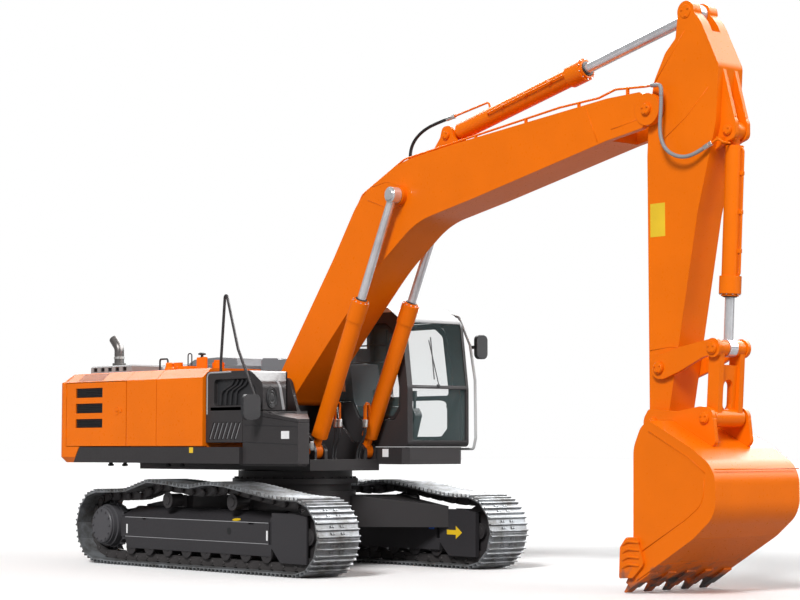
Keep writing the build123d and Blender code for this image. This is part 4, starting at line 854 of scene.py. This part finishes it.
border = np.stack([window_loop(0.052, WINDOW_Y), window_loop(0.008, WINDOW_Y)])[None, :, :-1]
make_piece("window_border", "house", "black_plastic", stacks(border, False))
guards = [bar([(-0.09, 0.545, z), (1.22, 0.545, z)], 0.009, 8) for z in (2.475, 2.685)]
seal = bar(window_loop(0.012, SEAL_Y), 0.01, 8)
make_piece("window_seal", "house", "black_rubber", seal, *guards, smooth=True)
arm_line = bar([(1.456, 0.903, 2.739), (1.531, 0.999, 2.197)], 0.006, 8)
blade_line = blocks([(1.487, 0.935, 2.52)], (0.004, 0.008, 0.26), 0.002,
                    axes((-0.099, 0, 0.75), X))
rest = bar([(1.525, 0.638, 2.17), (1.525, 0.992, 2.17)], 0.007, 8)
pivot = turned([(0.022, 0.0), (0.022, 0.02), (0.012, 0.026)], [(1.514, 0.999, 2.185)], X, 14)
make_piece("wiper", "house", "black_plastic", arm_line, blade_line, rest, pivot)

# %% [markdown]
# ## Welds and wear strips
# Heavy plates meet in welds that stand a few millimetres proud. The bucket has strips of harder
# plate along its lower edge, and cast guards wrap the ends of its lip. Each bead is a half-sunk
# round bar along the joint.

# %% Beads on the arm, the boom and the bucket
WELDS = {  # body: half width of its plates, radius of a bead, and lines: radius of bends, X and Z
    "arm": (0.1845, 0.005, (
        (0.3, (6.215, 4.515), (6.57, 4.745), (6.87, 5.01)),
        (0.3, (6.135, 5.12), (6.56, 5.62)),
        (0.3, (6.06, 2.42), (6.33, 2.45), (6.44, 2.44)))),
    "boom": (0.2645, 0.005, (
        (0.2, (5.25, 4.99), (5.42, 4.61)),
        (0.2, (5.62, 4.72), (5.98, 4.78)),
        (0.2, (1.7, 4.33), (2.15, 4.18), (2.3, 4.21)),
        (0.2, (2.3, 4.44), (2.05, 4.52), (1.78, 4.48)))),
    "bucket": (0.6305, 0.006, (
        (0.3, (6.33, 0.42), (6.9, 0.745), (7.13, 0.905), (7.15, 1.14)),
        (0.2, (6.44, 1.6), (6.96, 1.345), (7.16, 1.2)))),
}
beads = {
    body: [bar(bend(at_side(line, sign * half), turn), radius, 8)
           for _, sign in SIDES for turn, *line in lines]
    for body, (half, radius, lines) in WELDS.items()
}
across_back = [(7.2815, 1.236), (7.000, 0.572), (6.56, 0.312)]
beads["bucket"] += [bar([(x, -0.628, z), (x, 0.628, z)], 0.006, 8) for x, z in across_back]
for body, parts in beads.items():
    make_piece(f"{body}_welds", body, "orange_paint", *parts, smooth=True)

# %% Lug plates, wear strips, guards on the lip
lug = [(6.95, 4.64), (7.06, 4.64), (7.128, 4.7), (6.996, 5.19), (6.955, 5.08)]
lugs = [slab_of(lug, low, high) for low, high in ((-0.109, -0.065), (0.065, 0.109))]
make_piece("bracket_plates", "arm", "orange_paint", *lugs)
FINGER = [(6.11, 0.66, -0.02), (6.19, 0.672, 0.02), (6.33, 0.66, 0.01)]
fingers = []
for _, sign in SIDES:
    for row in range(4):
        level = 0.5 - 0.075 * row
        curve = [(x, sign * y, level + rise) for x, y, rise in FINGER]
        fingers.append(bar(bend(curve, 0.1), 0.014, 8))
strip_at = [(6.56 + 0.2 * i, 0, 0.331 + 0.1135 * i) for i in range(3)]
strips = blocks(strip_at, (0.07, 0.6, 0.006), 0.003, axes((-0.494, 0, 0.87), X))
make_piece("bucket_guards", "bucket", "bucket_paint", *fingers, strips)
TOOTH_SPACING = 0.278
pins = turned([(0.012, -0.05), (0.014, -0.046), (0.014, 0.046), (0.012, 0.05)],
              [(6.205, i * TOOTH_SPACING, 0.15) for i in range(-2, 3)], Y, 10)
make_piece("tooth_pins", "bucket", "link_steel", pins)

# %% [markdown]
# ## Raised covers behind the boom
# The fan and its shroud need more height than the rest of the engine bay, so a raised panel
# stands on the hood, and another carries its line forward to the cover behind the cab.

# %% Panels on the hood and on the cover in front of it
hood_line = [(-2.78, 2.494), (-1.64, 2.494), (-1.68, 2.605), (-2.1, 2.628), (-2.62, 2.612),
             (-2.76, 2.56)]
make_piece("hood_ridge", "engine_hood", "grey_paint", slab_of(hood_line, 0.33, 0.93))
cover_line = [(-1.34, 2.436), (-0.985, 2.436), (-0.965, 2.556), (-1.000, 2.586), (-1.3, 2.596),
              (-1.34, 2.56)]
make_piece("cover_ridge", "house", "grey_paint", slab_of(cover_line, 0.478, 1.052))

# %% [markdown]
# ## Marks and painted edge highlights of the undercarriage
# A yellow arrow on the inner face of the left frame points to the idler, so that the driver knows
# which way is forward. Light grey bars along the long edges of the frames are painted highlights.

# %% Arrow, painted shade of a hole, oval and painted edge highlights
BEAM_SLOPE = (0, -40, 75)  # direction that the sloping top of the right frame faces
points, faces = turned([(0.5, 0.0), (0.5, 0.003), (0.42, 0.003)], [(0, 0, 0)], Z, 24)
oval = points * (0.15, 0.06, 1) @ axes(BEAM_SLOPE, X) + (0.674, -1.388, 0.6052)
make_piece("beam_oval", "undercarriage", "label_yellow", (oval, faces))
tip, shaft, tail = 1.8, 1.69, 1.53
arrow = [(tail, 0.45), (tail, 0.395), (shaft, 0.395), (shaft, 0.345), (tip, 0.4225),
         (shaft, 0.5), (shaft, 0.45)]
make_piece("direction_arrow", "undercarriage", "label_yellow", slab_of(arrow, 1.1275, 1.1305))
# a black disc on the frame's face: painted shade inside a hole
hole = turned([(0.042, 0.0), (0.042, 0.0022), (0.03, 0.0022)], [(0.577, -1.4248, 0.472)], -Y, 24)
make_piece("beam_hole_shade", "undercarriage", "black_rubber", hole)
BEAM_FACE = 1.4225
# light grey bars along the frames' long edges: painted highlights
edges = [bar(at_side([(-1.6, z), (1.33, z)], sign * BEAM_FACE), 0.0045, 8)
         for _, sign in SIDES for z in (0.346, 0.583)]
make_piece("beam_edge_highlights", "undercarriage", "light_grey", *edges)

# %% [markdown]
# ## Tracks
# A track is a loop of 48 pressed shoes, each bolted to a pair of forged links. Each shoe has
# three ribs that bite into the ground. The loop's path is worked out first: flat on the ground,
# half a turn round the sprocket, over the carrier rollers with a sag between them (TOP), and half
# a turn round the idler. Then one section is carried across the track at each of the 48 places.

# %% Path of the loop
SHOES = 48
IDLER, SPROCKET = np.array([2.025, 0.445]), np.array([-2.025, 0.47])
IDLER_RADIUS, SPROCKET_RADIUS = 0.445, 0.455  # from their centres to the tips of the shoes' ribs
REAR_TOUCH, SAG_BEND = -1.58, 0.26  # X where the loop leaves the ground, and radius of TOP's bends
TOP = [(-1.4, 0.935), (-0.9, 1.062), (-0.48, 1.04), (-0.06, 0.996), (0.36, 1.052), (0.74, 1.025),
       (1.25, 0.95), (1.7, 0.895)]


def half_turn(centre, radius, upwards):
    """Half a circle in X, Z: up from below the centre on the rear side, or down again in front."""
    angle = np.linspace(0, np.pi, 65)
    x = centre[0] - radius * np.sin(angle) * (1 if upwards else -1)
    z = centre[1] - radius * np.cos(angle) * (1 if upwards else -1)
    return np.stack([x, z], axis=-1)


rear = half_turn(SPROCKET, SPROCKET_RADIUS, True)
front = half_turn(IDLER, IDLER_RADIUS, False)
top = bend(at_side([rear[-1], *TOP, front[0]], 0), SAG_BEND)[:, [0, 2]]
loop = np.concatenate([[[IDLER[0], 0], [REAR_TOUCH, 0]], rear, top[1:], front[1:]])
reach = reach_along(loop)
print("loop", round(reach[-1], 3), "m, pitch", round(reach[-1] / SHOES, 4), "m")


def on_loop(turn):
    """X, Z points at shares of the loop's length, found between its points by length."""
    distance = (np.asarray(turn) % 1.0) * reach[-1]
    return np.stack([np.interp(distance, reach, loop[:, i]) for i in (0, 1)], axis=-1)


def on_track(start, end, depth):
    """Centres and frames between two shares of the loop: along it, into it and across it."""
    a, b = on_loop(start), on_loop(end)
    along = (b - a) / np.linalg.norm(b - a, axis=1, keepdims=True)
    inward = np.stack([along[:, 1], -along[:, 0]], axis=-1)
    centre = (a + b) / 2 + inward * depth
    centre, along, inward = (at_side(flat, 0) for flat in (centre, along, inward))
    return centre, np.stack([along, inward, np.cross(along, inward)], axis=1)


# %% Shoes and links
def shoe_section():
    """Closed section of a shoe, (along, depth): three tapered ribs on a plate with turned lips."""
    rib = np.array([(-0.014, 0.031), (-0.008, 0.004), (-0.005, 0.0), (0.005, 0.0), (0.008, 0.004),
                    (0.014, 0.031)])
    ribs = np.concatenate([rib + (x, 0) for x in (-0.079, 0.0, 0.079)])
    return np.concatenate([[(-0.112, 0.04), (-0.104, 0.032)], ribs,
                           [(0.104, 0.032), (0.113, 0.038), (0.11, 0.046), (-0.108, 0.046)]])


def across(section, spans):
    """Rings of a section (along, depth) at distances across the track."""
    section = np.asarray(section)
    return np.stack([np.column_stack([section, np.full(len(section), y)]) for y in spans])


LINK_LANE, LINK_HALF, LINK_STEP, STEP_RUN = 0.072, 0.012, 0.013, 0.04


def link_rings(lane):
    """Rings of one forged link, from pin to pin: one end lies 26 mm further out than the other."""
    half = np.array([(0.062, 0.047), (0.078, 0.062), (0.112, 0.058), (0.14, 0.072), (0.152, 0.097),
                     (0.14, 0.126), (0.112, 0.143), (0.08, 0.147)])
    edge = np.concatenate([half[:1] * (-1, 1), half, half[:0:-1] * (-1, 1)])
    rings = across(edge, (-LINK_HALF, LINK_HALF))
    rings[..., 2] += lane + np.sign(lane) * LINK_STEP * np.clip(edge[:, 0] / STEP_RUN, -1, 1)
    return rings


GAUGE, SHOE_HALF, END_DRAFT = 2.59, 0.3, 0.004
SHOE_GAP, PIN_SPAN = 0.07, 0.1  # shares of a pitch: free at a shoe's ends, and spanned by a pin
PIN_DEPTH = 0.097
END_SCALE, END_SHIFT = 0.98, (0, 0.0007)  # the section is drawn in a little at a shoe's ends
BOLT = [(0.017, 0.0), (0.017, 0.011), (0.014, 0.014)]
BOLTS_AT = [(s, 0.031, y) for s in (-0.04, 0.04) for y in (-0.088, -0.056, 0.056, 0.088)]
PIN = [(0.021, -0.104), (0.024, -0.101), (0.024, 0.101), (0.021, 0.104)]
BUSH = [(0.035, -0.058), (0.035, 0.058)]

places = np.arange(SHOES)
shoe_at, shoe_turn = on_track((places + SHOE_GAP) / SHOES, (places + 1 - SHOE_GAP) / SHOES, 0)
pin_at, _ = on_track((places - PIN_SPAN) / SHOES, (places + PIN_SPAN) / SHOES, PIN_DEPTH)
ends = (-SHOE_HALF, END_DRAFT - SHOE_HALF, SHOE_HALF - END_DRAFT, SHOE_HALF)
shoe_rings = across(shoe_section(), ends)
shoe_rings[[0, -1], :, :2] = shoe_rings[[0, -1], :, :2] * END_SCALE + np.array(END_SHIFT)
bolts_at = shoe_at[:, None] + np.einsum("bi,nij->nbj", np.array(BOLTS_AT), shoe_turn)
bolt_turn = axes(np.repeat(-shoe_turn[:, 1], len(BOLTS_AT), axis=0), Y)
for side, sign in SIDES:
    offset = sign * GAUGE / 2 * Y
    plates, *links = [stacks(placed(rings, shoe_at + offset, shoe_turn))
                      for rings in (shoe_rings, link_rings(-LINK_LANE), link_rings(LINK_LANE))]
    heads = turned(BOLT, (bolts_at + offset).reshape(-1, 3), None, HEX, frames=bolt_turn)
    piece = make_piece(f"track_shoes_{side}", "undercarriage", "worn_steel", plates, heads)
    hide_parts(f"track_{side}")
    links += [turned(profile, pin_at + offset, Y, 12) for profile in (PIN, BUSH)]
    make_piece(f"track_links_{side}", "undercarriage", "link_steel", *links)

# %% [markdown]
# ## Floor, backdrop and light
# The machine stands on a pale floor in soft light: a broad lamp high on the right, a weak one in
# front, and an even glow from all round. The glow is white where the camera looks past the
# machine or through glass, while less of it lights the machine, so that colours come out about as
# written. Gloss mirrors a sky of its own, which is dim but for a bright patch high on the left:
# on smooth enamel that patch is what draws the long highlights of a studio.

# %% Floor
FLOOR_HALF = 150.0
FLOOR_BOUNCE, FLOOR_SEEN = (0.42, 0.42, 0.43, 1), (0.98, 0.98, 0.98, 1)


def floor_finish():
    """Matt pale floor: nearly white to the camera, and greyer where its light meets the machine."""
    material, shader, graph = new_material("floor")
    pale = graph.mixed(graph.add("LightPath")["Is Camera Ray"], FLOOR_BOUNCE, FLOOR_SEEN)
    graph.wire(shader, {"Base Color": pale, "Roughness": 0.9, "Specular IOR Level": 0.1})
    return material


corners = np.array([(-1, -1, 0), (1, -1, 0), (1, 1, 0), (-1, 1, 0)]) * FLOOR_HALF
floor_mesh = bpy.data.meshes.new("floor")
floor_mesh.from_pydata(corners.tolist(), [], [(0, 1, 2, 3)])
floor_mesh.materials.append(floor_finish())
floor = into_scene("floor", floor_mesh)
floor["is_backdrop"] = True

# %% World and lamps
EVEN_GLOW = (0.42, 1.0)  # strength of the glow that lights the machine, and of the one seen
MIRRORED = (0.22, 11.0)  # strength that gloss mirrors: all round, and in the bright patch
PATCH = (  # the patch fades in or out along a direction, between two levels of it
    ("Z", (0.22, 0.46), (0.0, 1.0)),
    ("Z", (0.84, 0.97), (1.0, 0.0)),
    ("Y", (-0.05, 0.3), (0.0, 1.0)),
)
world = bpy.data.worlds.new("studio")
bpy.context.scene.world = world
world.use_nodes = True
sky = Graph(world.node_tree)
ray = sky.add("LightPath")
seen = sky.calc("MAXIMUM", ray["Is Camera Ray"], ray["Is Transmission Ray"])
even = sky.ranged(seen, (0.0, 1.0), EVEN_GLOW)
way = sky.add("SeparateXYZ", {"Vector": sky.add("TexCoord")["Generated"]})
fades = [sky.ranged(way[side], levels, shares, interpolation_type="SMOOTHSTEP")
         for side, levels, shares in PATCH]
patch = sky.calc("MULTIPLY", sky.calc("MULTIPLY", fades[0], fades[1]), fades[2])
mirrored = sky.ranged(patch, (0.0, 1.0), MIRRORED)
strength = sky.add("Mix", {0: ray["Is Glossy Ray"], 2: even, 3: mirrored})[0]
sky.wire(world.node_tree.nodes["Background"], {"Color": (1, 1, 1, 1), "Strength": strength})

LAMPS = {"key": ((9, -16, 14), 2.8, 16), "front": ((18, 6, 7), 0.7, 40)}  # place, energy, spread
for name, (at, energy, spread) in LAMPS.items():
    light = bpy.data.lights.new(name, "SUN")
    light.energy, light.angle = energy, math.radians(spread)
    lamp = into_scene(name, light)
    lamp.location = at
    lamp.rotation_euler = (-Vector(at)).to_track_quat("-Z", "Y").to_euler()
bpy.context.scene.view_settings.view_transform = "Standard"

# %% The box round every part but the floor, and the end
low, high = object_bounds()
